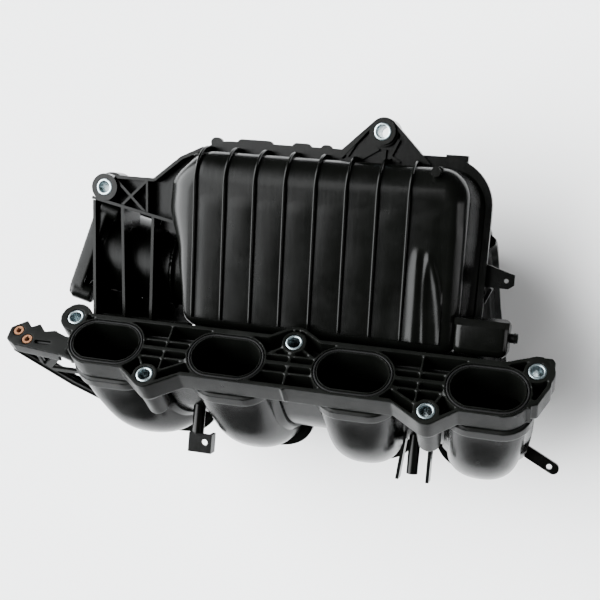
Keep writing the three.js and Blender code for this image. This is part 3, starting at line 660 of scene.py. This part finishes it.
def peg_with_guards():
    x, z, y0, y1, r, guard = 89, -70, -86, -50, 4.5, 2.6
    plates = [bar((x + h, y1), (x + f, y0 - 5), guard, z - 6, z + 5) for h, f in ((-7, -11), (13, 13))]
    return [cut(peg(x, z, y0, y1, r), peg(x, z, y0 - 1, y0 + 14, 2.6)), plates]


def clip_box():
    x, z, y0, y1, half, wall = -87, -66, -93, -77, 10, 2.5
    room = half - wall
    case = cut(
        box(x - half, x + half, y0, y1, z - 8, z + 2),
        box(x - room, x + room, y0 + wall, y1 + 1, z - 9, z),
    )
    return [cut(case, post(x + 4, y0 + 9, z - 2, z + 4, 2.6)), peg(x - 4, z - 3, y1 - 1, -50, 5)]


def side_ear():
    root, tip, z, half, thick = (168, -54), (196, -68), -77, 4.5, 3.2
    low, high = z - thick / 2, z + thick / 2
    ear = join(bar(root, tip, 2 * half, low, high), post(*tip, low, high, half))
    return cut(ear, post(tip[0] - 3, tip[1] + 1, z - thick, z + thick, 2.2))


kept_clear = [space for i in range(4) for space in (tube_space(i), rim_space(i, -GAP / 2))]
fittings = cut(join(peg_with_guards(), clip_box(), side_ear()), kept_clear)
inner_shell = join([runner_half(i, -1) for i in range(4)], [web(i) for i in range(3)], fittings)
piece("runner_inner_moulding", inner_shell, SHELL, ["runner_inner_shell"])

# ---------- throttle duct ----------
THROTTLE_TURN = math.atan2(THROTTLE["y"] - THROTTLE["y0"], THROTTLE["elbow_x"] - THROTTLE["x"])
TO_THROTTLE = (
    Matrix.Translation((THROTTLE["x"], THROTTLE["y"], THROTTLE["z"]))
    @ Matrix.Rotation(-math.pi / 2 - THROTTLE_TURN, 4, "Z")
    @ Matrix.Rotation(math.pi / 2, 4, "X")
)


def duct(wall_r, face_r, overrun=0.0, steps=24, around=72):
    """A round duct along a smooth bend from the plenum wall to the throttle face."""
    p0 = Vector((X0 - GAP, THROTTLE["y0"]))
    p1 = Vector((THROTTLE["elbow_x"], THROTTLE["y0"]))
    p2 = Vector((THROTTLE["x"], THROTTLE["y"]))

    def ring(t, push):
        p = p0 * (1 - t) ** 2 + p1 * 2 * t * (1 - t) + p2 * t * t
        d = ((p1 - p0) * (1 - t) + (p2 - p1) * t).normalized()
        r = lerp(wall_r, face_r, smoothstep(t, 0, 1))
        return [
            (p.x + d.x * push + r * s * d.y, p.y + d.y * push - r * s * d.x, THROTTLE["z"] + r * c)
            for c, s in ((math.cos(TAU * k / around), math.sin(TAU * k / around)) for k in range(around))
        ]

    rings = [ring(k / steps, 0) for k in range(steps + 1)]
    if overrun:
        rings = [ring(0, -overrun), *rings, ring(1, overrun)]
    return loft(rings)


CORNERS = [(sx * THROTTLE["bolt"], sy * THROTTLE["bolt"]) for sx, sy in ((-1, -1), (1, -1), (1, 1), (-1, 1))]


def throttle_duct():
    """The duct, its square flange with ribs, bosses and a seal groove, and a collar by the plenum."""
    half, thick, bore, depth = (THROTTLE[k] for k in ("half", "thick", "bore", "boss"))
    stiff = 2.4
    plate = prism(rounded_rect(-half, half, -half, half, 10), -thick, 0)
    relief = prism(rounded_rect(-half + 3, half - 3, -half + 3, half - 3, 8), -thick - 1, -4)
    hub = post(0, 0, -thick, 0, THROTTLE["outer"] + 2, steps=72)
    bosses = [post(x, y, -depth, -3, 7, 8) for x, y in CORNERS]
    spans = [((x * 0.55, y * 0.55), (x, y)) for x, y in CORNERS]
    spans += [((-half + 1, 0), (half - 1, 0)), ((0, -half + 1), (0, half - 1))]
    stiffeners = [bar(p, q, stiff, -thick, -3) for p, q in spans]
    face = join(cut(plate, relief), hub, bosses, stiffeners)
    seats = [post(x, y, -INSERT_LENGTH - 0.5, 1, INSERT_OUTER + 0.2) for x, y in CORNERS]
    groove = cut(
        post(0, 0, -SEAL_DEPTH, 1, bore + 5.5, steps=96), post(0, 0, -SEAL_DEPTH - 1, 2, bore + 2.5, steps=96)
    )
    face = moved(cut(face, seats, groove), TO_THROTTLE)
    inner, outer, near, far = 34.2, 37.4, -10, -8
    collar = moved(
        turned([(inner, near), (outer, near), (outer, far), (inner, far)], 96),
        Matrix.Translation((X0 - 3, THROTTLE["y0"], THROTTLE["z"])) @ Matrix.Rotation(math.pi / 2, 4, "Y"),
    )
    body = join(duct(bore + WALL, THROTTLE["outer"]), face, collar)
    return cut(body, duct(bore, bore, 5))


throttle = mould(throttle_duct(), voxel=0.9, smooth=4, keep=0.4)
piece("throttle_duct_moulding", throttle, SHELL, ["throttle_duct"])

o_ring_turns = [TAU * k / 14 for k in range(14)]
o_ring = turned(
    [(THROTTLE["bore"] + 4 + 1.3 * math.cos(a), -1.62 + 1.42 * math.sin(a)) for a in o_ring_turns], 96
)
piece("throttle_o_ring", moved(o_ring, TO_THROTTLE), RUBBER, ["throttle_seal"], sharp=60)


def insert(outer, inner, length):
    """A threaded insert: a knurled sleeve with a waist and a threaded bore."""
    teeth, tooth, thread, pitch = 36, 0.22, 0.35, 1.0
    levels = [
        (0, 0.35), (-0.5, 0), (-length * 0.42, 0), (-length * 0.44, 0.5),
        (-length * 0.54, 0.5), (-length * 0.56, 0), (-length + 0.6, 0), (-length, 0.45),
    ]
    rings = []
    for z, pull in levels:
        ring = []
        for k in range(teeth * 2):
            r = outer - pull - (tooth if k % 2 and pull < 0.4 else 0)
            ring.append((r * math.cos(TAU * k / teeth / 2), r * math.sin(TAU * k / teeth / 2), z))
        rings.append(ring)
    turns = int((length + 2) / pitch)
    threads = [(0, 1), (inner, 1)]
    for k in range(turns):
        threads += [(inner, 0.5 - k * pitch), (inner - thread, -k * pitch)]
    threads += [(inner, 0.5 - turns * pitch), (0, 0.5 - turns * pitch)]
    bore_tool = loft([
        [(max(r, 0.01) * math.cos(TAU * j / 32), max(r, 0.01) * math.sin(TAU * j / 32), z) for j in range(32)]
        for r, z in threads
    ])
    return cut(loft(rings), bore_tool)


for i, (x, y) in enumerate(CORNERS):
    sleeve = moved(at(insert(INSERT_OUTER, INSERT_INNER, INSERT_LENGTH), x, y, 0), TO_THROTTLE)
    piece(f"throttle_thread_{i + 1}", sleeve, BRASS, [f"throttle_insert_{i + 1}"], sharp=40)

# ---------- left bracket, in the flange's plane ----------
B_TOP, B_THICK = -6, 4
SMALL_INSERTS = [(-226, 4), (-216, -3)]


def left_bracket():
    """A flat deck with a lip below it, carried by an upright truss."""
    deck_outline = [
        (-234, -4), (-226, -9), (-185, -13), (-160, -20), (-160, 4), (-185, 4),
        (-196, 8), (-204, 6), (-210, 12), (-216, 8), (-222, 14), (-234, 6),
    ]
    deck = prism(deck_outline[::-1], B_TOP - B_THICK, B_TOP)
    lip_runs = [
        ((-233, -4), (-233, 6)), ((-233, 6), (-222, 13)), ((-233, -4), (-226, -8.2)),
        ((-226, -8.2), (-186, -12.2)), ((-216, 8), (-210, 11.4)), ((-195, 7.2), (-186, 1.6)),
    ]
    lip = [bar(p, q, 1.8, B_TOP - 11, B_TOP) for p, q in lip_runs]
    pads = [post(x, v, B_TOP - 12, B_TOP, 6.2) for x, v in SMALL_INSERTS]

    def upright(outline, y0, y1):
        return moved(prism(outline, y0, y1), Matrix.Rotation(math.pi / 2, 4, "X"))

    truss_outline = [
        (-232, B_TOP - 14), (-232, B_TOP - 1), (-185, B_TOP - 1), (-170, -40), (-172, -88), (-196, -66)
    ]
    windows = [
        [(-226, -19), (-214, -13), (-214, -34)],
        [(-210, -12), (-188, -12), (-211, -38)],
        [(-185, -17), (-178, -42), (-206, -42)],
        [(-204, -47), (-178, -47), (-178, -74)],
    ]
    truss = cut(upright(truss_outline, 3, 6), [upright(w, -5, 20) for w in windows])
    edges = [((-232, -20), (-196, -66), 2.2, 1.2), ((-196, -66), (-172, -88), 1.6, 2.0)]
    flanges = [
        upright([p, q, (q[0] + dx, q[1] + dz), (p[0] + dx, p[1] + dz)], -3, 7) for p, q, dx, dz in edges
    ]
    seats = [post(x, v, B_TOP - 10.5, B_TOP + 1, SMALL_OUTER + 0.2) for x, v in SMALL_INSERTS]
    slot = prism(racetrack(-202, -4, 7, 1.6), B_TOP - 2.6, 0)
    collar = prism(racetrack(PORT_X[0], 0, PORT_A + WALL + 2, PORT_B + WALL + 2), -FLANGE_COLLAR - GAP, 0)
    slab = flange_slab(-GAP, -FLANGE_THICK - GAP, GAP)
    runner = [moved(tube_space(0), TO_FLANGE), moved(rim_space(0), TO_FLANGE)]
    return cut(join(deck, lip, pads, truss, flanges), seats, slot, slab, collar, runner)


bracket = mould(left_bracket(), voxel=0.6, smooth=3, keep=0.5)
piece("left_bracket_moulding", moved(bracket, TO_ROW), SATIN, ["left_bracket"])
for i, (x, v) in enumerate(SMALL_INSERTS):
    sleeve = moved(at(insert(SMALL_OUTER, INSERT_INNER, SMALL_LENGTH), x, v, B_TOP), TO_ROW)
    piece(f"bracket_thread_{i + 1}", sleeve, BRASS, [f"bracket_insert_{i + 1}"], sharp=40)


# ---------- plenum ----------
def face_z(y):
    return lerp(FACE_LOW_Z, FACE_TOP_Z, (y - FACE_LOW_Y) / (FACE_TOP_Y - FACE_LOW_Y))


LEFT_EDGE = [(0, 10), (22, 9), (70, 0), (108, -10), (124, -9), (146, 0), (170, 0)]
LEFT_ZONE = (62, 104)  # the distances left of the middle where the wall's curve starts and is full


def left_bulge(y):
    """How far the left wall stands in from its mean line, along its height."""
    for (ya, a), (yb, b) in zip(LEFT_EDGE, LEFT_EDGE[1:]):
        if y <= yb:
            return lerp(a, b, smoothstep(y, ya, yb))
    return 0


def perimeter(insets, height, steps=14, bulge=1.0):
    """A rounded rectangle with an inset on each side (left, right, low, top); height gives z at (x, y)."""
    left, right, low, top = insets
    low_right = max(CORNER_LOW - (right + low) / 2, 2)
    high_right = max(CORNER_HIGH - (right + top) / 2, 6)
    high_left = max(CORNER_HIGH - (left + top) / 2, 6)
    low_left = max(CORNER_LOW - (left + low) / 2, 2)
    quarters = [
        (X1 - right - low_right, Y0 + low + low_right, low_right, -0.5),
        (X1 - right - high_right, Y1 - top - high_right, high_right, 0),
        (X0 + left + high_left, Y1 - top - high_left, high_left, 0.5),
        (X0 + left + low_left, Y0 + low + low_left, low_left, 1),
    ]
    points = []
    side_steps = {0: 16, 1: 14, 2: 26}
    for k, (cx, cy, r, s) in enumerate(quarters):
        points += arc(cx, cy, r, math.pi * s, math.pi * (s + 0.5), steps)
        if k in side_steps:
            nx, ny, nr, ns = quarters[k + 1]
            a = points[-1]
            b = (nx + nr * math.cos(math.pi * ns), ny + nr * math.sin(math.pi * ns))
            shares = [j / side_steps[k] for j in range(1, side_steps[k])]
            points += [(lerp(a[0], b[0], t), lerp(a[1], b[1], t)) for t in shares]
    shaped = []
    for x, y in points:
        x += bulge * left_bulge(y) * smoothstep(-x, *LEFT_ZONE)
        shaped.append((x, y, height(x, y)))
    return shaped


# The front shell's left, right, low and top walls: how far the rounded edge reaches in, the wall's draft
# and how far the rounding reaches down.
SIDE_ROUND = (13, 12, 7, 24)
SIDE_DRAFT = (1, 10, 0.5, 0)
SIDE_DROP = (20, 12, 8, 22)


def front_rings(inset, fillet_steps=14):
    """The rings of one wall surface of the front shell, from the weld plane up to its face."""

    def drop(x, y):
        """How deep the edge rounding reaches at a point of the outline."""
        weights = (
            max(0.0, (X0 + 45 - x) / 40), max(0.0, (x - X1 + 40) / 40),
            max(0.0, (Y0 + 30 - y) / 30), max(0.0, (y - Y1 + 45) / 40),
        )
        total = sum(weights) or 1
        return sum(w * d for w, d in zip(weights, SIDE_DROP)) / total if sum(weights) else 12

    rings = [perimeter([inset] * 4, lambda x, y: WELD_Z + GAP / 2)]
    for k in range(fillet_steps + 1):
        angle = math.pi / 2 * k / fillet_steps
        pull = 1 - math.cos(angle)
        insets = [inset + d + r * pull for d, r in zip(SIDE_DRAFT, SIDE_ROUND)]
        bulge = 1 - k / fillet_steps
        short = 1 - math.sin(angle)
        rings.append(perimeter(insets, lambda x, y: face_z(y) - inset - drop(x, y) * short, bulge=bulge))
    return rings


def rear_rings(inset, fillet_steps=12):
    """The rings of one wall surface of the rear shell, from the weld plane down to its floor."""
    draft, fillet = 2, 16
    rings = [perimeter([inset] * 4, lambda x, y: WELD_Z - GAP / 2)]
    for k in range(fillet_steps + 1):
        angle = math.pi / 2 * k / fillet_steps
        insets = [inset + draft + fillet * (1 - math.cos(angle))] * 4
        rings.append(perimeter(insets, lambda x, y: FLOOR_Z + GAP + inset + fillet * (1 - math.sin(angle))))
    return rings


def shell(outside, inside):
    return loft([*inside[::-1], *outside])


def weld_rim(z0, z1, grow=0.0):
    """The rim round the plenum at the weld, following the curved left wall."""
    rim = P_RIM + grow
    points = rounded_rect(
        X0 - rim, X1 + rim, Y0 - rim, Y1 + LEDGE + grow, CORNER_LOW + rim, CORNER_HIGH + LEDGE
    )
    dense = []
    for (ax, ay), (bx, by) in zip(points, points[1:] + points[:1]):
        parts = max(1, int(math.dist((ax, ay), (bx, by)) / 6))
        dense += [(lerp(ax, bx, j / parts), lerp(ay, by, j / parts)) for j in range(parts)]
    outline = [(x + left_bulge(y) * smoothstep(-x, *LEFT_ZONE), y) for x, y in dense]
    inner = [(x, y) for x, y, _ in perimeter([1] * 4, lambda x, y: 0)]
    return cut(prism(outline, z0, z1), prism(inner, z0 - 1, z1 + 1))


def top_profile(proud, root):
    """The side view of a face rib: along the face, over the rounded top edge and down to the ledge."""
    round_y, round_z = SIDE_ROUND[3], SIDE_DROP[3]
    cy, cz = Y1 - round_y, face_z(Y1 - round_y) - round_z
    outer = [(RIB_FOOT, face_z(RIB_FOOT) + proud - 1.4)]
    outer += [
        (cy + (round_y + proud) * math.sin(a), cz + (round_z + proud) * math.cos(a))
        for a in (math.pi / 2 * k / 16 for k in range(17))
    ]
    outer.append((Y1 + proud, WELD_Z + 3))
    inner = [(Y1 - root, WELD_Z + 3)]
    inner += [
        (cy + (round_y - root) * math.sin(a), cz + (round_z - root) * math.cos(a))
        for a in (math.pi / 2 * (1 - k / 16) for k in range(17))
    ]
    inner.append((RIB_FOOT, face_z(RIB_FOOT) - root))
    return outer + inner


def face_rib(x):
    """A thin rib with a narrower, rounded crest, standing proud of the face."""
    half = RIB_THICK / 2
    levels = [
        (-half - 0.15, RIB_PROUD - 1.3), (-half + 0.1, RIB_PROUD - 0.7), (-half + 0.5, RIB_PROUD - 0.2),
        (0, RIB_PROUD),
        (half - 0.5, RIB_PROUD - 0.2), (half - 0.1, RIB_PROUD - 0.7), (half + 0.15, RIB_PROUD - 1.3),
    ]
    return loft([[(x + off, y, z) for y, z in top_profile(proud, 1.5)] for off, proud in levels])


def curve_x(points, y):
    """The x of a curve through (x, y) points, at a height y."""
    points = sorted(points, key=lambda p: p[1])
    if y <= points[0][1]:
        return points[0][0]
    for (xa, ya), (xb, yb) in zip(points, points[1:]):
        if y <= yb:
            return lerp(xa, xb, (y - ya) / (yb - ya))
    return points[-1][0]


# The edges of the bell low on the face, and its welts: a path, half its width, height, top and taper.
BELL_LEFT = [(67.5, 14), (66.8, 30), (67.4, 50), (69, 60), (71.5, 69), (75, 78), (80, 88), (84, 95)]
BELL_RIGHT = [(109.6, 14), (108.6, 30), (106.6, 49), (104, 63), (99.6, 77), (96, 84), (93, 92), (90, 96)]
WELTS = [
    ([(85.8, 14), (85.6, 60), (84.9, 88)], 4.6, 1.7, 95, 12),
    ([(94.8, 14), (93.4, 36), (92.3, 50), (91.9, 68), (92.9, 90)], 2.2, 1.3, 92, 9),
    ([(107.4, 14), (106, 34), (103.8, 52), (100.6, 68), (97, 80), (93.2, 90)], 3.4, 1.6, 92, 9),
]


def face_height(x, y):
    """How far the moulded face stands off its mean plane: crowned bays, the bell and its welts."""
    bay = (x - RIB_X[0]) / (RIB_X[1] - RIB_X[0])
    edge = min(1 - smoothstep(y, 110, 128), smoothstep(x, -93, -80), 1 - smoothstep(x, 92, 106))
    across = bay - math.floor(bay) if 0 <= bay < 7 else 0.5
    if bay >= 7:
        across = min(max((x - RIB_X[7]) / 40, 0), 1)
    rise = 0.4 * (1 - (2 * across - 1) ** 2) * edge - 0.3 * (1 - edge)
    rise += 0.1 * edge * math.sin(y / 17 + 2.1 * math.floor(bay)) * math.sin(math.pi * across)
    left, right = curve_x(BELL_LEFT, y), curve_x(BELL_RIGHT, y)
    if y < 97 and right > left:
        inside = min(smoothstep(x, left - 1.5, left + 13), 1 - smoothstep(x, right - 8, right + 2))
        rise += 1.2 * inside * (1 - smoothstep(y, 10, 97))
    for path, half, tall, top, taper in WELTS:
        reach = half * lerp(0.62, 1, smoothstep(top - y, 0, taper * 2))
        off = abs(x - curve_x(path, y)) / (reach * 1.35)
        if y < top and off < 1:
            rise += tall * (math.cos(math.pi * off) + 1) / 2 * smoothstep(top - y, 0, taper)
    return rise


def face_skin():
    """The face's own skin: a fine grid that carries every swelling, closed below."""
    x0, x1, y0, y1, step, blurs = -93.5, 106.5, 22, 128.5, 1.0, 4
    sunk_edge, depth = -0.9, -1.6
    nx, ny = round((x1 - x0) / step), round((y1 - y0) / step)
    xs = [x0 + (x1 - x0) * i / nx for i in range(nx + 1)]
    spots = [[(x, y0 + (y1 - y0) * j / ny) for x in xs] for j in range(ny + 1)]
    rise = [[face_height(x, y) for x, y in line] for line in spots]
    for _ in range(blurs):
        soft = [line[:] for line in rise]
        for j in range(1, ny):
            for i in range(1, nx):
                near = rise[j - 1][i] + rise[j + 1][i] + rise[j][i - 1] + rise[j][i + 1]
                soft[j][i] = rise[j][i] / 2 + near / 8
        rise = soft
    top, low = [], []
    for j in range(ny + 1):
        for i in range(nx + 1):
            x, y = spots[j][i]
            border = i in (0, nx) or j in (0, ny)
            top.append((x, y, face_z(y) + (sunk_edge if border else rise[j][i])))
            low.append((x, y, face_z(y) + depth))
    row, total = nx + 1, len(top)
    faces = []
    for j in range(ny):
        for i in range(nx):
            a = j * row + i
            faces.append((a, a + 1, a + row + 1, a + row))
            faces.append((total + a, total + a + row, total + a + row + 1, total + a + 1))
    for i in range(nx):
        for a, b in ((i, i + 1), (ny * row + i + 1, ny * row + i)):
            faces.append((b, a, total + a, total + b))
    for j in range(ny):
        for a, b in (((j + 1) * row, j * row), (j * row + nx, (j + 1) * row + nx)):
            faces.append((b, a, total + a, total + b))
    return solid(top + low, faces)


def top_lug():
    """The upper support lug: a bordered plate with five ribs under its boss."""
    x, y = TOP_LUG
    low, edge = WELD_Z + GAP / 2, Y1 + 2
    plate = prism(lobe(x, y, LUG_R, edge, x - 38, x + 38), low, low + 2.6)
    border = cut(
        prism(lobe(x, y, LUG_R, edge, x - 38, x + 38), low, LUG_TOP - 4),
        prism(lobe(x, y, LUG_R - 2, edge - 6, x - 36, x + 36), low - 1, LUG_TOP),
    )
    collar = post(x, y, LUG_TOP - LUG_DEPTH, LUG_TOP, LUG_R - 1.2)
    foot = post(x, y, LUG_TOP - LUG_DEPTH, LUG_TOP - 4, LUG_R)
    feet = [
        ((-27, 4), (-17, 22)), ((-17, 2), (-3, 11)), ((2, 11), (2, 2)), ((5, 2), (12, 19)), ((14, 2), (5, 7)),
    ]
    ribs = [bar((x + a[0], Y1 + a[1]), (x + b[0], Y1 + b[1]), 1.9, low, LUG_TOP - 5) for a, b in feet]
    return [plate, border, collar, foot, ribs]


def left_lug():
    """The left support lug: a boss carried by upright walls, braces and a web, closed low by an apron."""
    x, y = LEFT_LUG
    low, high = -78, -45
    boss = post(x, y, LUG_TOP - LUG_DEPTH, LUG_TOP, LUG_R)
    step = post(x, y, LUG_TOP - LUG_DEPTH - 6, LUG_TOP - 14, LUG_R + 1.5)
    walls = [
        ((-179, 12), (-186, 107)), ((-153, 12), (-161, 104)),
        ((-130, 12), (-134, 98)), ((-188, 109), (-112, 94)),
    ]
    uprights = [bar(p, q, 2.3, low, high) for p, q in walls]
    brace_runs = [
        ((-170, 127), (-136, 127), 2.6), ((-136, 127), (-114, 146), 2.6), ((-114, 146), (-96, 155), 2.6),
        ((-163, 104), (-142, 126), 2.0), ((-168, 124), (-140, 99), 2.0), ((-142, 126), (-140, 99), 1.8),
    ]
    braces = [bar(p, q, thick, low + 12, high - 2) for p, q, thick in brace_runs]
    web_outline = [
        (-188, 109), (-132, 97), (-132, 88), (-106, 84), (-98, 153), (-114, 145), (-136, 126), (-172, 126),
    ]
    sheet = prism(web_outline, -62, -59)
    base = bar((-182, 13.5), (-100, 13.5), 3, low, high - 6)
    apron = prism([(-184, 12), (-100, 12), (-100, 40), (-181, 44)], low, low + 2.6)
    return [boss, step, uprights, braces, sheet, base, apron]


TAP = (116, 156, 18, 45, -50, -27)  # the tap chamber's low and high x, y and z
NIPPLE_Y, NIPPLE_Z, NIPPLE_R, NIPPLE_IN, NIPPLE_LENGTH = 33, -38, 3.6, 2, 6


def tap_box(inset):
    """The tap chamber; its front edges are rounded."""
    x0, x1, y0, y1, z0, z1 = TAP
    rings = []
    for back, up in ((0, 99), (0, 5), (0.6, 2.8), (1.7, 1.2), (3.4, 0.3), (5, 0)):
        d = inset + back
        z = max(z0 + inset, z1 - inset - up)
        outline = rounded_rect(x0 + d, x1 - d, y0 + d, y1 - d, max(5 - d * 0.5, 1), steps=6)
        rings.append([(x, y, z) for x, y in outline])
    return loft(rings)


def along_x(y, z, x0, x1, r, steps=48):
    turn = Matrix.Translation((0, y, z)) @ Matrix.Rotation(math.pi / 2, 4, "Y")
    return moved(post(0, 0, x0, x1, r, steps=steps), turn)


def throttle_space():
    """The throttle duct with a gap round it, which the left lug stays clear of."""
    half, thick, depth = THROTTLE["half"] + GAP, THROTTLE["thick"] + GAP, THROTTLE["boss"] + GAP
    face = join(
        prism(rounded_rect(-half, half, -half, half, 10), -thick, GAP),
        [post(x, y, -depth, -3, 7.3, 8.3) for x, y in CORNERS],
    )
    return join(duct(THROTTLE["bore"] + WALL + GAP, THROTTLE["outer"] + GAP), moved(face, TO_THROTTLE))


def plenum_front():
    skin = shell(front_rings(0), front_rings(WALL))
    hollow = loft(front_rings(WALL))
    ribs = [face_rib(x) for x in RIB_X]
    rim = weld_rim(WELD_Z + GAP / 2, WELD_Z + P_RIM_THICK)
    locator = [post(94, 149, -44, -15, 3.9, 3.4), post(94, 149, -44, -22, 5.2, 4.6)]
    bead = box(*TAP[:2], TAP[3] - 5, TAP[3], TAP[5] - 5, TAP[5] + 0.8)
    whole = join(skin, rim, face_skin(), ribs, top_lug(), left_lug(), tap_box(0), bead, locator)
    bores = [post(x, y, -90, 0, BUSH_OUTER + BUSH_FIT) for x, y in (LEFT_LUG, TOP_LUG)]
    nipple_seat = along_x(NIPPLE_Y, NIPPLE_Z, 100, 170, NIPPLE_R + 0.15)
    below_rim = weld_rim(WELD_Z - 40, WELD_Z + GAP / 2, GAP)
    return cut(whole, hollow, tap_box(2.5), bores, nipple_seat, throttle_space(), below_rim)


def plenum_rear():
    skin = shell(rear_rings(0), rear_rings(WALL))
    rim = weld_rim(WELD_Z - P_RIM_THICK, WELD_Z - GAP / 2)
    tab_outline = [(127, 67), (150, 67), (154, 70), (154, 78), (150, 79), (127, 86)]
    tab = cut(prism(tab_outline, -62, -59), post(148, 73, -64, -57, 1.7))
    gusset = box(127, 147, 67, 69.4, -66, -60)
    stay = bar((132, 54), (137, 66), 2.4, -72, -60)
    bumps = [prism(racetrack(x, Y1 + LEDGE - 1.5, half, 4, 12), WELD_Z - P_RIM_THICK, WELD_Z - GAP / 2)
             for x, half in ((-88, 5), (-56, 15), (-18, 8), (2, 5))]
    catch = [box(94, 111, 158, 164, -66, -60), box(94, 111, 150, 160, -62, -58.2)]
    floor_ribs = [bar((-90, y), (112, y), 2.4, FLOOR_Z - 2.5, FLOOR_Z + 6) for y in (112, 128)]
    whole = join(skin, rim, tab, gusset, stay, bumps, catch, floor_ribs)
    mouth_y = run_path(LENGTH)[0]
    mouths = [
        prism(racetrack(run_x(i, LENGTH), mouth_y, MOUTH_A, RUN_B), FLOOR_Z - 5, FLOOR_Z + 8)
        for i in range(4)
    ]
    inlet = along_x(THROTTLE["y0"], THROTTLE["z"], X0 - 20, X0 + 26, THROTTLE["bore"], 72)
    return cut(whole, mouths, inlet)


piece("plenum_front_moulding", plenum_front(), SHELL, ["plenum_front_shell"], sharp=32)
piece("plenum_rear_moulding", plenum_rear(), SHELL, ["plenum_rear_shell"], sharp=32)

LUG_SLEEVES = [
    ("left_lug_sleeve", "support_bush_left", LEFT_LUG),
    ("top_lug_sleeve", "support_bush_top", TOP_LUG),
]
for name, node, (x, y) in LUG_SLEEVES:
    piece(name, at(bush(LUG_DEPTH), x, y, LUG_TOP - LUG_DEPTH), STEEL, [node])


def nipple():
    end = TAP[1]
    stem = along_x(NIPPLE_Y, NIPPLE_Z, end - 2.5, end + NIPPLE_LENGTH, NIPPLE_R)
    barb = moved(
        turned([(2.5, 3.2), (NIPPLE_R, 3.2), (NIPPLE_R + 0.7, 3.4), (NIPPLE_R, 5.6), (2.5, 5.8)]),
        Matrix.Translation((end, NIPPLE_Y, NIPPLE_Z)) @ Matrix.Rotation(math.pi / 2, 4, "Y"),
    )
    return cut(join(stem, barb), along_x(NIPPLE_Y, NIPPLE_Z, end - 10, end + 20, NIPPLE_IN))


piece("vacuum_spigot", nipple(), SATIN, ["vacuum_nipple"])

# ---------- stage, light and camera ----------
floor_z = cad_bounds[0].z
floor_mesh = bpy.data.meshes.new("floor")
floor_outline = [(-0.55, -0.5), (0.33, -0.5), (0.33, 0.36), (-0.55, 0.36)]
floor_mesh.from_pydata([(x, y, floor_z) for x, y in floor_outline], [], [(0, 1, 2, 3)])
floor = bpy.data.objects.new("floor", floor_mesh)
bpy.context.scene.collection.objects.link(floor)
paper = Nodes("floor_paper")
paper_tone = paper.mix(paper.noise(3, 2), (0.9, 0.9, 0.9), (0.93, 0.93, 0.93))
paper.link(paper_tone, paper.shader.inputs["Base Color"])
paper.link(paper.ramp(paper.noise(8, 2), 0.8, 0.95), paper.shader.inputs["Roughness"])
floor_mesh.materials.append(paper.material)

centre = (cad_bounds[0] + cad_bounds[1]) / 2
SKY_WAY = (-0.87, 0.12, 0.48)  # the way to the middle of the soft light
SKY_EDGE = (0.68, 0.86)  # cosines from that way: outside the first it is dim, inside the second bright
SKY_DIM, SKY_BRIGHT = 0.2, 22
SKY_COLOUR = (0.97, 0.99, 1.0, 1)


def area_light(name, direction, distance, size, power):
    data = bpy.data.lights.new(name, "AREA")
    data.energy = power
    data.shape = "RECTANGLE"
    data.size, data.size_y = size
    lamp = bpy.data.objects.new(name, data)
    bpy.context.scene.collection.objects.link(lamp)
    way = Vector(direction).normalized()
    lamp.location = centre + way * distance
    lamp.rotation_mode = "QUATERNION"
    lamp.rotation_quaternion = (-way).to_track_quat("-Z", "Y")


area_light("crown_softbox", (-0.24, 0.1, 0.96), 1.7, (1.2, 0.16), 6.5)
area_light("right_strip", (1.0, -0.1, 0.35), 1.5, (0.3, 1.3), 10)

world = bpy.data.worlds.new("studio")
world.use_nodes = True
sky = world.node_tree
ways = sky.nodes.new("ShaderNodeTexCoord")
facing = sky.nodes.new("ShaderNodeVectorMath")
facing.operation = "DOT_PRODUCT"
facing.inputs[1].default_value = Vector(SKY_WAY).normalized()
level = sky.nodes.new("ShaderNodeMapRange")
level.interpolation_type = "SMOOTHSTEP"
for key, value in zip(("From Min", "From Max", "To Min", "To Max"), (*SKY_EDGE, SKY_DIM, SKY_BRIGHT)):
    level.inputs[key].default_value = value
sky.links.new(ways.outputs["Generated"], facing.inputs[0])
sky.links.new(facing.outputs["Value"], level.inputs["Value"])
sky.links.new(level.outputs["Result"], sky.nodes["Background"].inputs["Strength"])
sky.nodes["Background"].inputs["Color"].default_value = SKY_COLOUR
bpy.context.scene.world = world

camera_data = bpy.data.cameras.new("camera")
camera_data.lens = 66.2
camera_data.clip_start, camera_data.clip_end = 0.05, 20
camera = bpy.data.objects.new("camera", camera_data)
bpy.context.scene.collection.objects.link(camera)
right = Vector((0.9618, 0.0809, -0.2616))
up = Vector((-0.1039, 0.9917, -0.0751))
back = Vector((0.2534, 0.0994, 0.9622))
turn = Matrix((right, up, back)).transposed()
camera.rotation_mode = "QUATERNION"
camera.rotation_quaternion = turn.to_quaternion()
camera.location = Vector((0.2104, 0.1288, 0.7798))
bpy.context.scene.camera = camera
